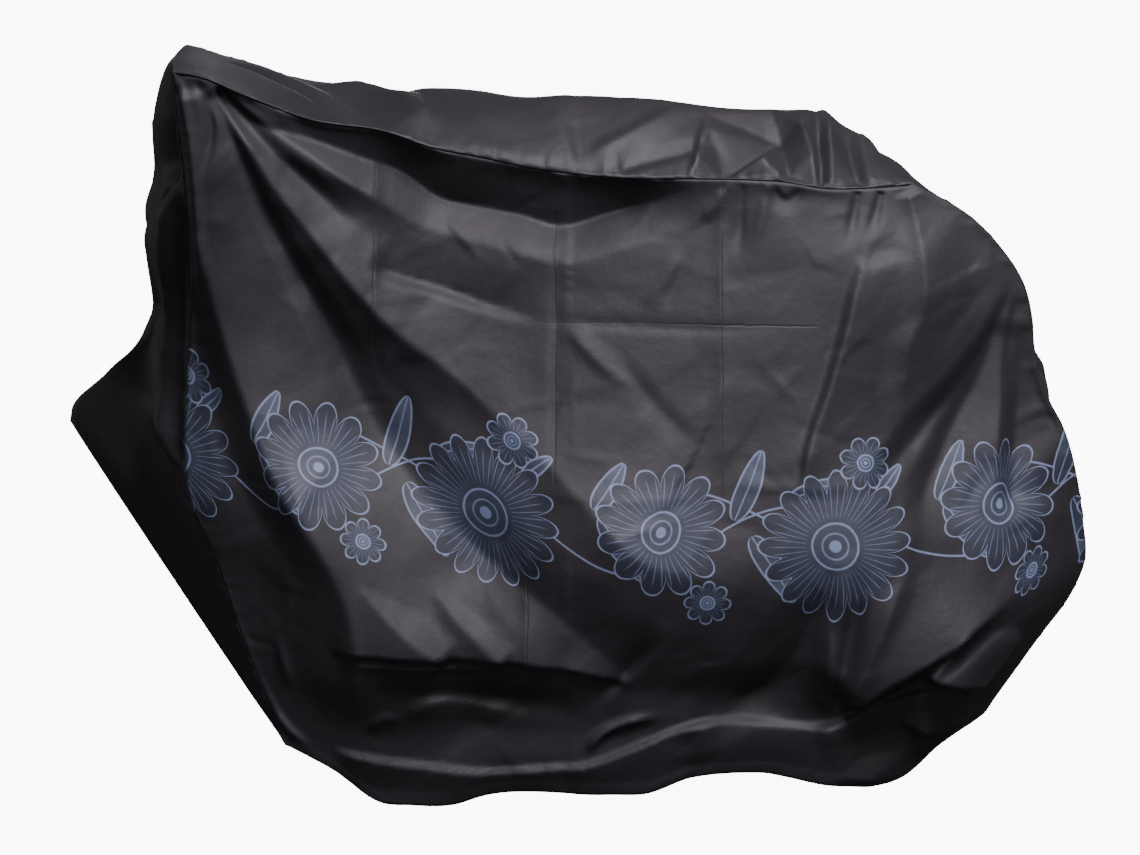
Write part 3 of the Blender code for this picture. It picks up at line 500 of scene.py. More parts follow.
def panelGrid(panel):
    columns, rows = panel["columns"], panel["rows"]
    top = seamCurve(panel["top"], panel["side"], columns)
    hem = seamCurve(panel["hem"], panel["side"], columns)
    front = seamCurve(panel["front"], panel["side"], rows)
    rear = seamCurve(panel["rear"], panel["side"], rows)
    across, height = np.meshgrid(np.linspace(0, 1, columns + 1), np.linspace(0, 1, rows + 1))
    u, v = across[:, :, None], height[:, :, None]
    corners = (1 - u) * (1 - v) * hem[0] + u * (1 - v) * hem[-1] + (1 - u) * v * top[0] + u * v * top[-1]
    grid = (1 - v) * hem[None] + v * top[None] + (1 - u) * front[:, None] + u * rear[:, None] - corners
    along, up = grid[:, :, 0].copy(), grid[:, :, 2].copy()
    fromFront = across * np.ptp(top[:, 0])
    fromRear = (1 - across) * np.ptp(top[:, 0])
    fromTop = (1 - height) * np.ptp(front[:, 2])
    toSeam = np.minimum(np.minimum(fromFront, fromRear), fromTop)
    calm = smoothStep(toSeam / panel["seamCalm"])
    out = sum(foldHeight(tableFold(row), along, up) for row in panel["folds"])
    out = out + sum(creasedPlanes(along, up, corners, edges) for corners, edges in panel.get("planes", []))
    out = out + crumples(along, up, panel["crumple"])
    out = (out + sum(facets(along, up, layer) for layer in panel["facets"])) * calm
    broadCell, fineCell, lean = 0.110, 0.045, 0.4
    broad = wander(along, up, broadCell, 5)
    fine = wander(along + lean * up, up - lean * along, fineCell, 6)
    out = out + panel["restlessness"] * calm * (0.6 * broad + 0.3 * fine)
    seamRun = np.where(toSeam == fromTop, along, up)
    out = out + puckers(panel, wander(seamRun, np.zeros_like(seamRun), panel["puckerPitch"] / 2, 7), toSeam)
    # the turned hem
    toHem = height * np.ptp(front[:, 2])
    out = out + panel["hemStep"] * smoothStep((panel["hemBand"] - toHem) / hemRound)
    grid[:, :, 1] += panel["side"] * (out + sectionBulge(panel["sections"], across, height))
    return grid


nearGrid = panelGrid(nearPanel)
farGrid = panelGrid(farPanel)
print("panels shaped")


strip = {
    "columns": 60,
    "width": 0.3,
    "seamCalm": 0.014,
    "pucker": 0.0022,
    "puckerReach": 0.03,
    "puckerPitch": 0.018,
    "restlessness": 0.002,
    # The strip's middle line: station, x, y, height, and how sharply the strip bends over it.
    # Stations 0 to 1 run up the front, 1 to 2 over the top, 2 to 3 down the rear.
    "crests": [
        (0.0, -765, -35, 500, 1.05), (0.18, -757, -30, 530, 1.05), (0.39, -706, -20, 575, 0.9),
        (0.56, -650, 0, 635, 0.55), (0.64, -636, 0, 675, 0.6), (0.74, -648, 0, 780, 1.4),
        (0.84, -619, 0, 860, 2.0), (0.95, -619, 0, 985, 2.0), (1.0, -590, 0, 1052, 2.0),
        (1.06, -515, 10, 1038, 2.0), (1.19, -360, 40, 1007, 2.0), (1.27, -275, 30, 991, 1.8),
        (1.33, -215, 24, 1002, 1.7), (1.4, -140, 20, 998, 1.6), (1.46, -73, 10, 988, 1.6),
        (1.52, -10, 0, 993, 1.6), (1.62, 95, 0, 991, 1.5), (1.75, 250, 0, 973, 1.4),
        (1.81, 315, 0, 973, 1.4), (1.865, 371, 0, 979, 1.3), (1.92, 414, 0, 948, 1.5),
        (1.96, 456, 0, 925, 1.6), (2.0, 500, 0, 886, 1.8), (2.05, 530, 0, 848, 2.0),
        (2.16, 624, 0, 768, 2.0), (2.29, 680, 0, 660, 2.0), (2.54, 756, 0, 440, 2.0),
        (2.67, 776, 0, 322, 2.0), (2.84, 712, 0, 200, 2.0), (3.0, 632, 0, 96, 2.0),
    ],
    # paths are (thousandths of a station, distance across from the near seam)
    "folds": [
        fold("flapEdge", [(350, 2), (450, 60), (560, 120)], 12, 20, 90, 0.6, 0.05, 0.4, 0.8),
        fold("seamPit", [(860, 24), (800, 28), (700, 36), (560, 36), (460, 30), (390, 16)], -30, 120, 24,
            0.8, 0.15, 0.15, 0.3),
        fold("frontPleatB", [(1000, 36), (930, 36), (840, 40)], 50, 80, 32, 0.8, 0.03, 0.25, 0.8),
        fold("frontPleatC", [(930, 200), (660, 220)], -20, 34, 34, 0.6, 0.05, 0.4, 0.5),
        fold("frontPleatD", [(970, 165), (720, 160)], 12, 24, 24, 0.6, 0.05, 0.4, 0.7),
        fold("frontPleatE", [(900, 255), (620, 262)], 12, 20, 20, 0.6, 0.05, 0.4, 0.7),
        fold("frontLoop", [(870, 10), (830, 60), (760, 90)], 10, 12, 14, 1.0, 0.1, 0.4, 0.8),
        fold("tautRidge", [(1085, 290), (1180, 140), (1290, 10)], 11, 34, 90, 1.0, 0.1, 0.1, 0.9),
        fold("seamBand", [(1060, 190), (1130, 110), (1200, 52), (1270, 12), (1320, 8)], 14, 12, 30, 0.7,
            0.1, 0.3, 0.9),
        fold("ridgeValley", [(1200, 220), (1280, 120), (1360, 20)], -14, 60, 40, 1.0, 0.2, 0.2, 0.3),
        fold("topDragB", [(1560, 20), (1640, 80), (1700, 150)], -7, 30, 20, 1.0, 0.2, 0.4, 0.6),
        fold("topDragC", [(1600, 10), (1740, 60)], 7, 14, 24, 1.0, 0.1, 0.4, 0.8),
        fold("humpValleyFar", [(1846, 210), (1760, 290)], -20, 30, 30, 0.8, 0.2, 0.1, 0.5),
        fold("humpRidgeFar", [(1866, 180), (1872, 290)], 10, 24, 20, 0.8, 0.2, 0.1, 0.8),
        fold("rearTopCreaseB", [(1965, 250), (1975, 40)], 8, 18, 24, 1.0, 0.2, 0.2, 0.8),
        fold("rearDishA", [(2100, 60), (2420, 200)], -12, 50, 50, 1.0, 0.3, 0.4, 0.2),
        fold("rearDishB", [(2300, 240), (2700, 80)], -14, 60, 60, 1.0, 0.3, 0.4, 0.2),
        fold("rearDragA", [(2180, 20), (2420, 130), (2640, 260)], 10, 30, 50, 1.0, 0.2, 0.4, 0.8),
        fold("rearDragB", [(2560, 30), (2800, 160)], 10, 26, 40, 1.0, 0.2, 0.3, 0.8),
        fold("rearPack", [(2000, 150), (2950, 150)], 3.5, 30, 30, 1.0, 0.1, 0.1, 0.95),
        fold("rearPackLevel", [(2400, 20), (2400, 280)], -3.5, 24, 24, 1.0, 0.1, 0.1, 0.95),
    ],
    # over the top: corners (x, distance across, rise), then the creases between them
    "planes": [
        ([(172, 0, 0), (183, 25, -11), (204, 80, -5), (243, 71, 8), (225, 8, 19), (314, 86, 27),
          (278, 28, -11), (321, 18, 14), (313, 0, 0), (361, 0, 0), (343, 106, 0), (354, 42, -11),
          (371, 150, 11), (371, 76, 19), (370, 10, 14), (385, 140, 3), (383, 70, -5), (380, 8, -5),
          (414, 110, 11), (421, 12, 8), (432, 110, -5), (436, 12, -3), (300, 150, 0), (372, 200, 0),
          (440, 160, 0), (470, 80, 0), (460, 0, 0), (200, 120, 0)],
         [(1, 2), (4, 5), (5, 6), (6, 7), (7, 9), (5, 10), (10, 11), (11, 9), (12, 13), (13, 14), (15, 16),
          (16, 17), (18, 19), (20, 21), (4, 6), (2, 5), (10, 12)]),
        ([(16, 4, 2.4), (10, 65, 7.2), (19, 128, 4.8), (97, 118, 3.6), (209, 61, 1.8), (150, 4, 0),
          (-10, 120, 0), (-20, 80, -2.4), (4, 10, -1.8), (-60, 150, 0), (-70, 10, 0), (110, 170, 0),
          (0, 170, 0), (215, 100, 0)],
         [(0, 1), (1, 2), (2, 3), (3, 4), (7, 8), (6, 7), (0, 4)]),
    ],
    "facets": [
        {"seed": 51, "cell": 0.12, "turn": 1.1, "stretch": 1.2, "rise": 0.0044},
        {"seed": 53, "cell": 0.045, "turn": 0.4, "stretch": 1.3, "rise": 0.0014},
    ],
    "crumple": {
        "seed": 31, "count": 110, "lean": 1.2, "spread": 1.2, "length": (0.04, 0.12),
        "width": (0.008, 0.018), "rise": (0.0005, 0.0016),
    },
}


def sewnEdge(grid):
    # up the front, over the top and down the rear
    return np.concatenate([grid[:, 0], grid[-1, 1:], grid[-2::-1, -1]])


def stationShares(panel):
    upward = np.linspace(0, 1, panel["rows"] + 1)
    over = np.linspace(0, 1, panel["columns"] + 1)
    return np.concatenate([upward, 1 + over[1:], 2 + upward[1:]])


def stripGrid(nearEdge, farEdge, stations):
    knots, *places, roundness = np.array(strip["crests"]).T
    middle = np.stack([valuesThrough(knots, column / 1000, stations) for column in places], axis=1)
    roundness = np.interp(stations, knots, roundness)[:, None]
    across = np.linspace(0, 1, strip["columns"] + 1)
    arch = 1 - np.abs(2 * across[None] - 1) ** roundness
    straight = nearEdge[:, None] + (farEdge - nearEdge)[:, None] * across[None, :, None]
    lift = middle - (nearEdge + farEdge) / 2
    grid = straight + lift[:, None] * arch[:, :, None]
    place, distance = np.meshgrid(stations, across * strip["width"], indexing="ij")
    toSeam = np.minimum(distance, strip["width"] - distance)
    run = runAlong(nearEdge)[:, None] + 0 * distance
    calm = smoothStep(toSeam / strip["seamCalm"])
    out = sum(foldHeight(tableFold(row), place, distance) for row in strip["folds"]) * calm
    overTop = smoothStep((place - 1.0) / 0.03) * smoothStep((2.0 - place) / 0.03)
    for corners, edges in strip["planes"]:
        out = out + creasedPlanes(grid[:, :, 0], distance, corners, edges) * overTop
    loose = 0.12 + 0.88 * smoothStep((place - 0.45) / 0.25)       # the lifted front end hangs flat
    onRidge = overTop * smoothStep(1 - np.abs(distance - strip["width"] / 2) / 0.05)
    loose = loose * (1 - 0.6 * onRidge) * calm
    out = out + crumples(place, distance, strip["crumple"]) * loose
    out = out + sum(facets(run, distance, layer) for layer in strip["facets"]) * loose
    broadCell, fineCell = 0.09, 0.035
    broad = wander(run, distance, broadCell, 15)
    fine = wander(run, distance, fineCell, 16)
    out = out + strip["restlessness"] * loose * (0.7 * broad + 0.3 * fine)
    out = out + puckers(strip, wander(run, distance * 0.2, strip["puckerPitch"] / 2, 17), toSeam)
    return grid - outwardOf(grid) * out[:, :, None], run


nearStations = stationShares(nearPanel)
farEdgeFine = pointsAt(sewnEdge(farGrid), stationShares(farPanel), nearStations)
gussetGrid, gussetRun = stripGrid(sewnEdge(nearGrid), farEdgeFine, nearStations)
# the panel's top edge tucks in under the strip
nearGrid[-1, 2:-2] += (0.0, 0.0032, -0.0012)
print("strip shaped")


sheetThickness = 0.0012


def addObject(name, data):
    made = bpy.data.objects.new(name, data)
    bpy.context.scene.collection.objects.link(made)
    return made


def clothMesh(name, grid, flatPlaces, facing):
    # a grid of points as one sheet, with its flat places in metres as the UV map
    rows, columns = grid.shape[:2]
    number = np.arange(rows * columns).reshape(rows, columns)
    quads = np.stack([number[:-1, :-1], number[:-1, 1:], number[1:, 1:], number[1:, :-1]], axis=2)
    quads = quads.reshape(-1, 4)
    places = grid.reshape(-1, 3) - (0.0, 0.0, supportHeight)
    middle = quads[len(quads) // 2]
    side = np.cross(places[middle[1]] - places[middle[0]], places[middle[3]] - places[middle[0]])
    if np.dot(side, facing) < 0:
        quads = quads[:, ::-1]
    mesh = bpy.data.meshes.new(name)
    mesh.from_pydata(places.tolist(), [], quads.tolist())
    layer = mesh.uv_layers.new(name="flat")
    layer.data.foreach_set("uv", flatPlaces.reshape(-1, 2)[quads.reshape(-1)].astype(np.float32).reshape(-1))
    mesh.shade_smooth()
    mesh.validate()
    piece = addObject(name, mesh)
    wall = piece.modifiers.new("cloth", "SOLIDIFY")
    wall.thickness = sheetThickness
    wall.offset = -1.0
    return piece


def panelFlat(grid, bandLine):
    # across: run of the cloth from the middle; up: run of the cloth from the middle of the printed band
    stepsAcross = np.linalg.norm(np.diff(grid, axis=1), axis=2)
    runAcross = np.concatenate([np.zeros((len(grid), 1)), np.cumsum(stepsAcross, axis=1)], axis=1)
    stepsUp = np.linalg.norm(np.diff(grid, axis=0), axis=2)
    runUp = np.concatenate([np.zeros((1, grid.shape[1])), np.cumsum(stepsUp, axis=0)], axis=0)
    flat = np.zeros(grid.shape[:2] + (2,))
    for row in range(len(grid)):
        flat[row, :, 0] = runAcross[row] - np.interp(0.0, grid[row, :, 0], runAcross[row])
    for column in range(grid.shape[1]):
        band = np.interp(np.mean(grid[:, column, 0]), *bandLine)
        heights = np.maximum.accumulate(grid[:, column, 2])
        flat[:, column, 1] = runUp[:, column] - np.interp(band, heights, runUp[:, column])
    return flat


# middle of the printed band: x, height
bandLine = ([-0.58, -0.40, -0.15, 0.10, 0.40, 0.75], [0.530, 0.500, 0.450, 0.400, 0.405, 0.430])
nearFlat = panelFlat(nearGrid, bandLine)
farFlat = panelFlat(farGrid, bandLine)
gussetFlat = np.stack([gussetRun, np.broadcast_to(
    np.linspace(0, strip["width"], strip["columns"] + 1)[None], gussetRun.shape)], axis=2)

nearPiece = clothMesh("coverNearPanel", nearGrid, nearFlat, (0, -1, 0))
farPiece = clothMesh("coverFarPanel", farGrid, farFlat, (0, 1, 0))
gussetPiece = clothMesh("coverGusset", gussetGrid, gussetFlat, (0, 0, 1))
print("cloth meshed")


class shadeTerm:
    # a value in a shader tree; arithmetic on it adds Math nodes
    def __init__(self, sheet, socket):
        self.sheet = sheet
        self.socket = socket

    def math(self, operation, *others):
        values = {index + 1: other for index, other in enumerate(others)}
        values[0] = self
        return self.sheet.term("ShaderNodeMath", {"operation": operation}, values)

    def __add__(self, other):
        return self.math("ADD", other)

    __radd__ = __add__

    def __sub__(self, other):
        return self.math("SUBTRACT", other)

    def __rsub__(self, other):
        return self.sheet.term("ShaderNodeMath", {"operation": "SUBTRACT"}, {0: other, 1: self})

    def __mul__(self, other):
        return self.math("MULTIPLY", other)

    __rmul__ = __mul__

    def __truediv__(self, other):
        return self.math("DIVIDE", other)

    def __rtruediv__(self, other):
        return self.sheet.term("ShaderNodeMath", {"operation": "DIVIDE"}, {0: other, 1: self})

    def __abs__(self):
        return self.math("ABSOLUTE")

    def largest(self, other):
        return self.math("MAXIMUM", other)

    def smallest(self, other):
        return self.math("MINIMUM", other)

    def below(self, limit, soft):
        # 1 below the limit, 0 above it
        return self.between(limit - soft, limit + soft, 1.0, 0.0)

    def between(self, low, high, start=0.0, end=1.0):
        return self.sheet.term("ShaderNodeMapRange", {"interpolation_type": "SMOOTHSTEP"}, {
            "Value": self, "From Min": low, "From Max": high, "To Min": start, "To Max": end})


class nodeSheet:
    # a node tree, and the short way to add a node to it
    def __init__(self, tree):
        self.tree = tree

    def plug(self, socket, value):
        if isinstance(value, shadeTerm):
            value = value.socket
        if isinstance(value, bpy.types.NodeSocket):
            self.tree.links.new(value, socket)
        else:
            socket.default_value = value

    def node(self, kind, settings, values):
        made = self.tree.nodes.new(kind)
        for key, value in settings.items():
            setattr(made, key, value)
        for key, value in values.items():
            self.plug(made.inputs[key], value)
        return made


class clothShader(nodeSheet):
    def __init__(self, name):
        self.material = bpy.data.materials.new(name)
        self.material.use_nodes = True
        super().__init__(self.material.node_tree)
        self.surface = self.tree.nodes["Principled BSDF"]

    def mix(self, share, first, second):
        values = {"Factor": share, 6: first, 7: second}
        return self.node("ShaderNodeMix", {"data_type": "RGBA"}, values).outputs[2]

    def term(self, kind, settings, values):
        return shadeTerm(self, self.node(kind, settings, values).outputs[0])

    def noise(self, place, scale, rough=0.5):
        values = {"Vector": place, "Scale": scale, "Detail": 2.0, "Roughness": rough}
        return self.term("ShaderNodeTexNoise", {}, values)

    def feed(self, socket, value):
        self.plug(self.surface.inputs[socket], value)


clothLook = {
    "base": (0.0182, 0.0161, 0.0203, 1.0),
    "worn": (0.0270, 0.0242, 0.0298, 1.0),
    "roughness": 0.56,
    "roughnessSwing": 0.08,
    "weavePitch": 0.0011,
    "weaveDepth": 0.00002,
    "grainDepth": 0.0007,
    "sheen": 0.03,
    "creaseHalf": 0.0013,
    "creaseDepth": 0.0007,
    "creaseWear": 0.3,
    "creaseFade": 0.03,
}

# sharp lines left by packing: place along x, lowest and highest point; then height, lowest and highest x
packUpright = [
    (-0.282, 0.66, 0.94), (-0.022, 0.49, 0.83), (0.220, 0.45, 0.87), (0.640, 0.43, 0.60),
    (-0.062, 0.21, 0.33)]
packLevel = [(0.686, -0.03, 0.34)]

printLook = {
    "repeat": 0.52,
    "reach": 0.150,             # half the height of the printed band
    "pale": (0.24, 0.30, 0.48, 1.0),
    "deep": (0.022, 0.027, 0.046, 1.0),
    "roughness": 0.55,
    "line": 0.0030,
    "soft": 0.0011,
}


class printArt:
    # pale shapes laid one over another on a flat place of the cloth
    def __init__(self, shader, flat):
        parts = shader.node("ShaderNodeSeparateXYZ", {}, {0: flat})
        repeat = printLook["repeat"]
        along = shadeTerm(shader, parts.outputs[0]) + 10 * repeat
        self.across = along.math("MODULO", repeat) - repeat / 2
        self.upward = shadeTerm(shader, parts.outputs[1])
        self.solid = None
        self.tone = None

    def lay(self, mask, shade):
        if self.solid is None:
            self.solid, self.tone = mask, mask * shade
        else:
            self.tone = self.tone * (1 - mask) + mask * shade
            self.solid = self.solid.largest(mask)

    def edge(self, gap, share=1.0):
        return abs(gap).below(printLook["line"] * share / 2, printLook["soft"])

    def flower(self, x, y, radius, petals, turn):
        dx, dy = self.across - x, self.upward - y
        away = (dx * dx + dy * dy).math("SQRT")
        angle = dy.math("ARCTAN2", dx) + turn
        petal = abs((angle * (petals / 2)).math("COSINE")).math("POWER", 0.5)
        petalEdge = petal * (radius * 0.40) + radius * 0.60
        gap = away - petalEdge
        self.lay(gap.below(0.0, printLook["soft"]), away.between(radius * 0.2, radius, 0.11, 0.0))
        veins = abs((angle * (petals * 1.5)).math("SINE")).below(0.20, 0.10)
        self.lay(veins * away.between(radius * 0.36, radius * 0.40) * away.below(radius * 0.80, 0.01), 0.55)
        self.lay(self.edge(gap), 1.0)
        self.lay(away.below(radius * 0.30, printLook["soft"]), 0.12)
        self.lay(self.edge(away - radius * 0.30), 1.0)
        self.lay(self.edge(away - radius * 0.17, 0.8), 0.8)
        self.lay(away.below(radius * 0.08, printLook["soft"]), 1.0)

    def leaf(self, x, y, turn, length, width):
        dx, dy = self.across - x, self.upward - y
        onLeaf = (dx * math.cos(turn) + dy * math.sin(turn)) / length
        beside = abs(dy * math.cos(turn) - dx * math.sin(turn))
        gap = beside - (onLeaf * (1 - onLeaf)).largest(0.0).math("SQRT") * (1.2 - onLeaf * 0.5) * width
        ends = onLeaf.between(-0.02, 0.02) * onLeaf.between(1.02, 0.98)
        self.lay(gap.below(0.0, printLook["soft"]) * ends, onLeaf.between(0.0, 1.0, 0.03, 0.25))
        self.lay((self.edge(gap) + self.edge(beside, 0.6)).smallest(1.0) * ends, 0.95)

    def stem(self, height, phase, sway, low, high):
        wave = (self.across * (2 * math.pi / printLook["repeat"]) + phase).math("SINE") * sway + height
        ends = self.across.between(low - 0.002, low) * self.across.between(high + 0.002, high)
        self.lay(self.edge(self.upward - wave, 1.2) * ends, 0.9)


def printMask(shader, flat):
    # a plain garland of large daisies and leaves on a curling stem
    art = printArt(shader, flat)
    art.stem(-0.010, 0.7, 0.050, -0.26, 0.26)
    art.stem(0.030, 3.0, 0.040, -0.06, 0.20)
    art.leaf(-0.225, 0.028, 1.10, 0.095, 0.030)
    art.leaf(-0.215, 0.020, -0.95, 0.105, 0.034)
    art.leaf(-0.015, 0.020, 1.25, 0.110, 0.034)
    art.leaf(0.010, -0.004, -1.05, 0.115, 0.036)
    art.leaf(0.190, 0.050, 0.75, 0.060, 0.022)
    art.leaf(0.060, 0.050, 0.35, 0.080, 0.026)
    art.flower(-0.125, 0.010, 0.098, 12, 0.2)
    art.flower(0.130, -0.020, 0.112, 16, 0.0)
    art.flower(0.175, 0.100, 0.040, 8, 0.4)
    art.flower(-0.060, -0.100, 0.034, 8, 0.1)
    return art.solid, art.tone


# paintedShadeScale below 1 darkens the cloth's colour and lowers its specular: painted shade, for a piece of
# the same cloth that catches more light than the panels
def clothMaterial(name, printed, paintedShadeScale=1.0):
    shader = clothShader(name)
    place = shader.node("ShaderNodeTexCoord", {}, {}).outputs["Object"]
    flat = shader.node("ShaderNodeUVMap", {"uv_map": "flat"}, {}).outputs[0]
    broad = shader.noise(place, 7.0, 0.55)
    fine = shader.noise(place, 70.0, 0.6)
    weave = shader.node("ShaderNodeSeparateXYZ", {}, {0: flat})
    turns = 2 * math.pi / clothLook["weavePitch"]
    warp, weft = ((shadeTerm(shader, weave.outputs[axis]) * turns).math("SINE") for axis in (0, 1))
    threads = warp * weft
    spot = shader.node("ShaderNodeSeparateXYZ", {}, {0: place})
    crease = None
    fade = clothLook["creaseFade"]
    sway = (fine - 0.5) * 0.004 + (broad - 0.5) * 0.010
    for axis, other, ground, rows in ((0, 2, supportHeight, packUpright), (2, 0, 0.0, packLevel)):
        here = shadeTerm(shader, spot.outputs[axis]) + sway
        there = shadeTerm(shader, spot.outputs[other])
        for middle, low, high in rows:
            offset = supportHeight if axis == 2 else 0.0
            line = abs(here - (middle - offset)).below(clothLook["creaseHalf"], clothLook["creaseHalf"])
            line = line * there.between(low - ground - fade, low - ground)
            line = line * there.between(high - ground + fade, high - ground)
            crease = line if crease is None else crease.largest(line)
    crease = crease * broad.between(0.35, 0.55, 0.25, 1.0)
    height = threads * clothLook["weaveDepth"] + fine * clothLook["grainDepth"]
    height = height - crease * clothLook["creaseDepth"]
    tint = broad.between(0.35, 0.7) * 0.6 + fine * 0.3 + crease * clothLook["creaseWear"]
    base, worn = ([part * paintedShadeScale for part in clothLook[name][:3]] + [1.0] for name in ("base", "worn"))
    colour = shader.mix(tint, base, worn)
    swing = clothLook["roughnessSwing"] / 2
    mean = clothLook["roughness"]
    rough = broad.between(0.3, 0.7, mean - swing, mean + swing) + fine * 0.06
    if printed:
        solid, tone = printMask(shader, flat)
        ink = shader.mix(tone, printLook["deep"], printLook["pale"])
        cover = solid * (fine * 0.3 + 0.72)
        colour = shader.mix(cover, colour, ink)
        rough = rough * (1 - cover) + cover * printLook["roughness"]
    bump = shader.node("ShaderNodeBump", {}, {"Strength": 0.8, "Distance": 1.0, "Height": height})
    shader.feed("Base Color", colour)
    shader.feed("Roughness", rough)
    shader.feed("Normal", bump.outputs[0])
    shader.feed("Sheen Weight", clothLook["sheen"])
    shader.feed("Sheen Roughness", 0.5)
    shader.feed("Specular IOR Level", 0.5 * paintedShadeScale)
    return shader.material


def printBand(piece, printed):
    # only the faces that the print crosses carry its material
    mesh = piece.data
    mesh.materials.append(plainCloth)
    mesh.materials.append(printed)
    heights = np.zeros(len(mesh.loops) * 2, np.float32)
    mesh.uv_layers["flat"].data.foreach_get("uv", heights)
    heights = heights.reshape(-1, 4, 2)[:, :, 1]
    crossed = np.abs(heights).min(axis=1) < printLook["reach"]
    mesh.polygons.foreach_set("material_index", crossed.astype(np.int32))


printedCloth = clothMaterial("printed cloth", True)
plainCloth = clothMaterial("plain cloth", False)
# the strip is the panels' own cloth, with 6% painted shade in its colour and specular because its upward
# faces catch more light
stripClothPaintedDarker = clothMaterial("strip cloth painted darker", False, 0.94)
printBand(nearPiece, printedCloth)
printBand(farPiece, printedCloth)
gussetPiece.data.materials.append(stripClothPaintedDarker)
print("cloth finished")


stitching = {
    "pitch": 0.0052,
    "length": 0.0034,
    "thick": 0.0007,
    "least": 0.88,              # the smallest and the largest stitch, as a share of the usual one
    "most": 1.10,
    "fromSeam": 0.0060,
    "fromHem": 0.0165,
    "sunk": 0.0001,
    "colour": (0.011, 0.010, 0.012, 1.0),
    "roughness": 0.62,
}


def threadMaterial():
    shader = clothShader("thread")
    place = shader.node("ShaderNodeTexCoord", {}, {}).outputs["Object"]
    fuzz = shader.noise(place, 900.0)
    light = tuple(1.7 * part for part in stitching["colour"][:3]) + (1.0,)
    shader.feed("Base Color", shader.mix(fuzz, stitching["colour"], light))
    mean, swing = stitching["roughness"], 0.06
    shader.feed("Roughness", fuzz.between(0.3, 0.7, mean - swing, mean + swing))
    return shader.material


def stitchTree(material):
    tree = bpy.data.node_groups.new("stitches along a line", "GeometryNodeTree")
    tree.interface.new_socket("Line", in_out="INPUT", socket_type="NodeSocketGeometry")
    for name, value in (
        ("Pitch", stitching["pitch"]), ("Length", stitching["length"]), ("Thickness", stitching["thick"]),
    ):
        tree.interface.new_socket(name, in_out="INPUT", socket_type="NodeSocketFloat").default_value = value
    tree.interface.new_socket("Seed", in_out="INPUT", socket_type="NodeSocketInt")
    tree.interface.new_socket("Stitches", in_out="OUTPUT", socket_type="NodeSocketGeometry")
    sheet = nodeSheet(tree)
    given = sheet.node("NodeGroupInput", {}, {}).outputs
    spaced = sheet.node("GeometryNodeResampleCurve", {"mode": "LENGTH"}, {
        "Curve": given["Line"], "Length": given["Pitch"]})
    tangent = sheet.node("GeometryNodeInputTangent", {}, {})
    turned = sheet.node("FunctionNodeAlignRotationToVector", {"axis": "X"}, {"Vector": tangent.outputs[0]})
    loop = sheet.node("GeometryNodeMeshUVSphere", {}, {"Segments": 6, "Rings": 5, "Radius": 0.5})
    size = sheet.node("ShaderNodeCombineXYZ", {}, {
        0: given["Length"], 1: given["Thickness"], 2: given["Thickness"]})
    chance = sheet.node("FunctionNodeRandomValue", {"data_type": "FLOAT"}, {
        2: stitching["least"], 3: stitching["most"], "Seed": given["Seed"]})
    sized = sheet.node("ShaderNodeVectorMath", {"operation": "SCALE"}, {
        0: size.outputs[0], "Scale": chance.outputs[1]})
    placed = sheet.node("GeometryNodeInstanceOnPoints", {}, {
        "Points": spaced.outputs[0], "Instance": loop.outputs[0],
        "Rotation": turned.outputs[0], "Scale": sized.outputs[0]})
    real = sheet.node("GeometryNodeRealizeInstances", {}, {0: placed.outputs[0]})
    smooth = sheet.node("GeometryNodeSetShadeSmooth", {}, {0: real.outputs[0]})
    finished = sheet.node("GeometryNodeSetMaterial", {}, {0: smooth.outputs[0], "Material": material})
    sheet.node("NodeGroupOutput", {}, {0: finished.outputs[0]})
    return tree


def sewLine(lines, name, tree, seed):
    curve = bpy.data.curves.new(name + "Line", "CURVE")
    curve.dimensions = "3D"
    for line in lines:
        spline = curve.splines.new("POLY")
        spline.points.add(len(line) - 1)
        flatLine = np.concatenate([line - (0.0, 0.0, supportHeight), np.ones((len(line), 1))], axis=1)
        spline.points.foreach_set("co", flatLine.astype(np.float32).reshape(-1))
    guide = addObject(name + "Guide", curve)
    sewing = guide.modifiers.new("stitches", "NODES")
    sewing.node_group = tree
    for socket in tree.interface.items_tree:
        if socket.in_out == "INPUT" and socket.name == "Seed":
            sewing[socket.identifier] = seed
    bpy.context.view_layer.update()
    made = bpy.data.meshes.new_from_object(guide.evaluated_get(bpy.context.evaluated_depsgraph_get()))
    made.name = name
    piece = addObject(name, made)
    bpy.data.objects.remove(guide, do_unlink=True)
    return piece


def lineBeside(grid, facing, distance, edge):
    # the line on a sheet's outer face that runs at a distance from one of its edges
    turned = grid.transpose(1, 0, 2)
    sheet = {"first": grid, "last": grid[:, ::-1], "hem": turned, "top": turned[:, ::-1]}[edge]
    normal = outwardOf(sheet)
    if np.sum(normal[len(normal) // 2, 1] * facing) < 0:
        normal = -normal
    line = []
    reach = 12                  # points from the edge inward, enough for the distance
    for row, out in zip(sheet[:, :reach], normal[:, :reach]):
        face = row + out * stitching["sunk"]
        line.append([np.interp(distance, runAlong(row), column) for column in face.T])
    return np.array(line)


thread = threadMaterial()
stitches = stitchTree(thread)
up = np.array((0.0, 0.0, 1.0))
nearward = np.array((0.0, -1.0, 0.0))
farward = np.array((0.0, 1.0, 0.0))
gussetSeams = sewLine([
    lineBeside(gussetGrid, up, stitching["fromSeam"], "first"),
    lineBeside(gussetGrid, up, stitching["fromSeam"], "last"),
], "coverSeamStitches", stitches, 3)
gussetHems = sewLine([
    lineBeside(gussetGrid, np.array((-1.0, 0.0, 0.5)), stitching["fromHem"], "hem"),
    lineBeside(gussetGrid, np.array((1.0, 0.0, 0.0)), stitching["fromHem"], "top"),
], "coverGussetHemStitches", stitches, 4)
nearLine = lineBeside(nearGrid, nearward, stitching["fromHem"], "hem")
nearHem = sewLine([nearLine], "coverNearHemStitches", stitches, 5)
farLine = lineBeside(farGrid, farward, stitching["fromHem"], "hem")
farHem = sewLine([farLine], "coverFarHemStitches", stitches, 6)
print("stitches sewn")


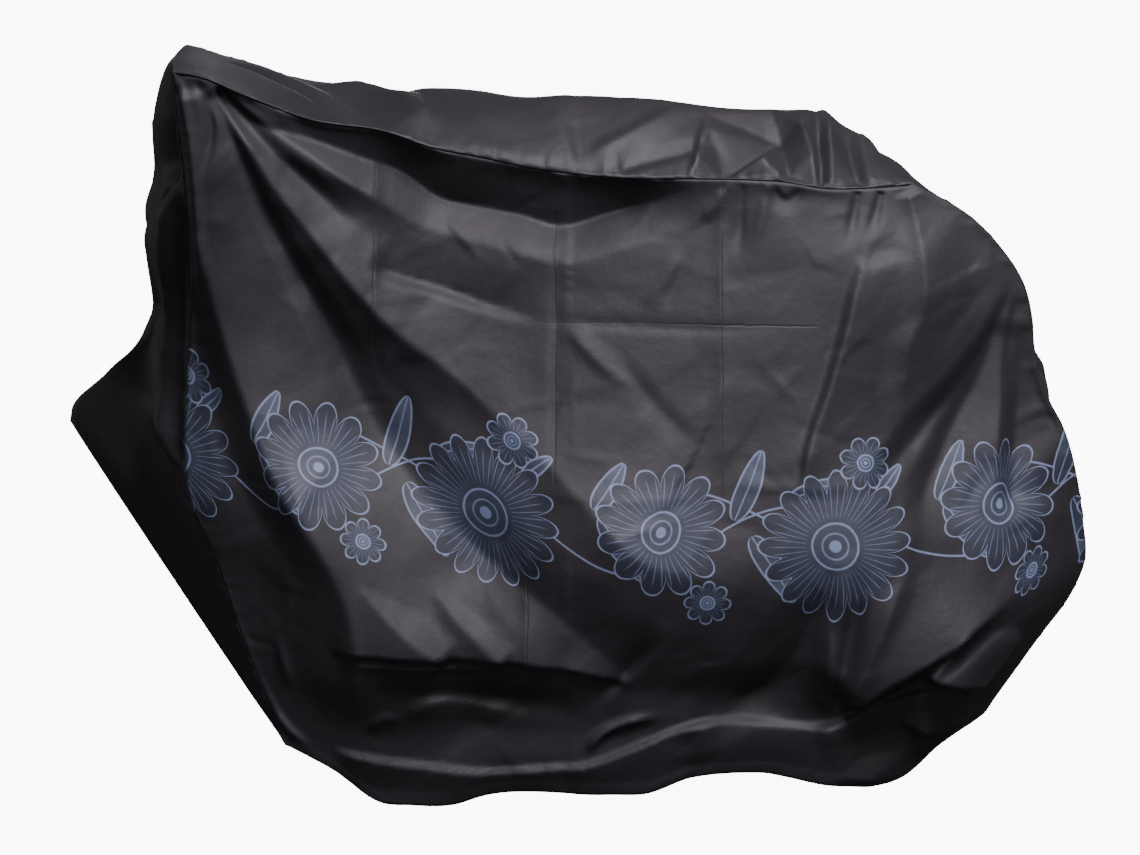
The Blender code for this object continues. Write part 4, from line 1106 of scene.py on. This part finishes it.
# each piece's cut: its greatest width and length, and its area
for piece, node, slot, flat, area, sewn in (
    (nearPiece, "side_panel_near", "panel_cloth", (1.36, 1.10), 1.28, [nearHem]),
    (farPiece, "side_panel_far", "panel_cloth", (1.40, 1.08), 1.26, [farHem]),
    (gussetPiece, "gusset", "gusset_cloth", (0.68, 3.30), 1.24, [gussetSeams, gussetHems]),
):
    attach(piece, "root")
    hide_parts(node)
    for line in sewn:
        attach(line, "root")
print("pieces ride on the frame")


studio = {
    "floorHeight": -supportHeight - 0.002,
    "floorSize": 60.0,
    "floorSeen": (0.86, 0.86, 0.86, 1.0),
    "floorGlow": 10.0,
    "floorUnseen": (0.09, 0.09, 0.10, 1.0),      # what the floor gives back to the cloth
    "sky": (0.96, 0.97, 1.0, 1.0),
    "skySeen": 11.0,
    "skyUnseen": 0.11,
    # name, place, size, power
    "lamps": [
        ("mainBox", (0.70, -1.25, 1.80), 1.2, 91.0),
        ("frontBox", (0.0, -4.2, 1.3), 1.4, 13.0),
        ("backBox", (0.20, 3.60, -0.15), 0.9, 75.0),
        ("flapBox", (-3.50, 1.80, 0.0), 1.0, 3.5),
    ],
    "lampColour": (1.0, 0.95, 1.0),
    "aim": (0.0, 0.0, -0.40),
    "sensor": 36.0,
    "lens": 84.38,
    "away": 4.0,
    "eyeHeight": 1.5,
    "lookDown": 14.3,
}

floorMesh = bpy.data.meshes.new("floor")
half = studio["floorSize"] / 2
floorZ = studio["floorHeight"]
floorCorners = [(-half, -half, floorZ), (half, -half, floorZ), (half, half, floorZ), (-half, half, floorZ)]
floorMesh.from_pydata(floorCorners, [], [(0, 1, 2, 3)])
floor = addObject("floor", floorMesh)
floorShader = clothShader("floor")
seenNow = floorShader.node("ShaderNodeLightPath", {}, {}).outputs["Is Camera Ray"]
floorShader.feed("Base Color", floorShader.mix(seenNow, studio["floorUnseen"], studio["floorSeen"]))
floorShader.feed("Roughness", 0.95)
floorShader.feed("Specular IOR Level", 0.0)
floorShader.feed("Emission Color", floorShader.mix(seenNow, (0.0, 0.0, 0.0, 1.0), studio["sky"]))
floorShader.feed("Emission Strength", studio["floorGlow"])
floorMesh.materials.append(floorShader.material)

world = bpy.data.worlds.new("studio")
bpy.context.scene.world = world
world.use_nodes = True
sky = nodeSheet(world.node_tree)
backdrop = sky.tree.nodes["Background"]
skyPath = sky.node("ShaderNodeLightPath", {}, {})
skyStrength = sky.node("ShaderNodeMapRange", {}, {
    "Value": skyPath.outputs["Is Camera Ray"], "To Min": studio["skyUnseen"], "To Max": studio["skySeen"]})
sky.plug(backdrop.inputs["Color"], studio["sky"])
sky.plug(backdrop.inputs["Strength"], skyStrength.outputs[0])

for name, place, size, power in studio["lamps"]:
    lamp = bpy.data.lights.new(name, "AREA")
    lamp.size = size
    lamp.energy = power
    lamp.color = studio["lampColour"]
    holder = addObject(name, lamp)
    holder.location = place
    holder.rotation_euler = (Vector(studio["aim"]) - Vector(place)).to_track_quat("-Z", "Y").to_euler()

cameraData = bpy.data.cameras.new("camera")
cameraData.sensor_width = studio["sensor"]
cameraData.lens = studio["lens"]
camera = addObject("camera", cameraData)
camera.location = (0.0, -studio["away"], studio["eyeHeight"] - supportHeight)
camera.rotation_euler = (math.radians(90.0 - studio["lookDown"]), 0.0, 0.0)
bpy.context.scene.camera = camera

print("studio set")
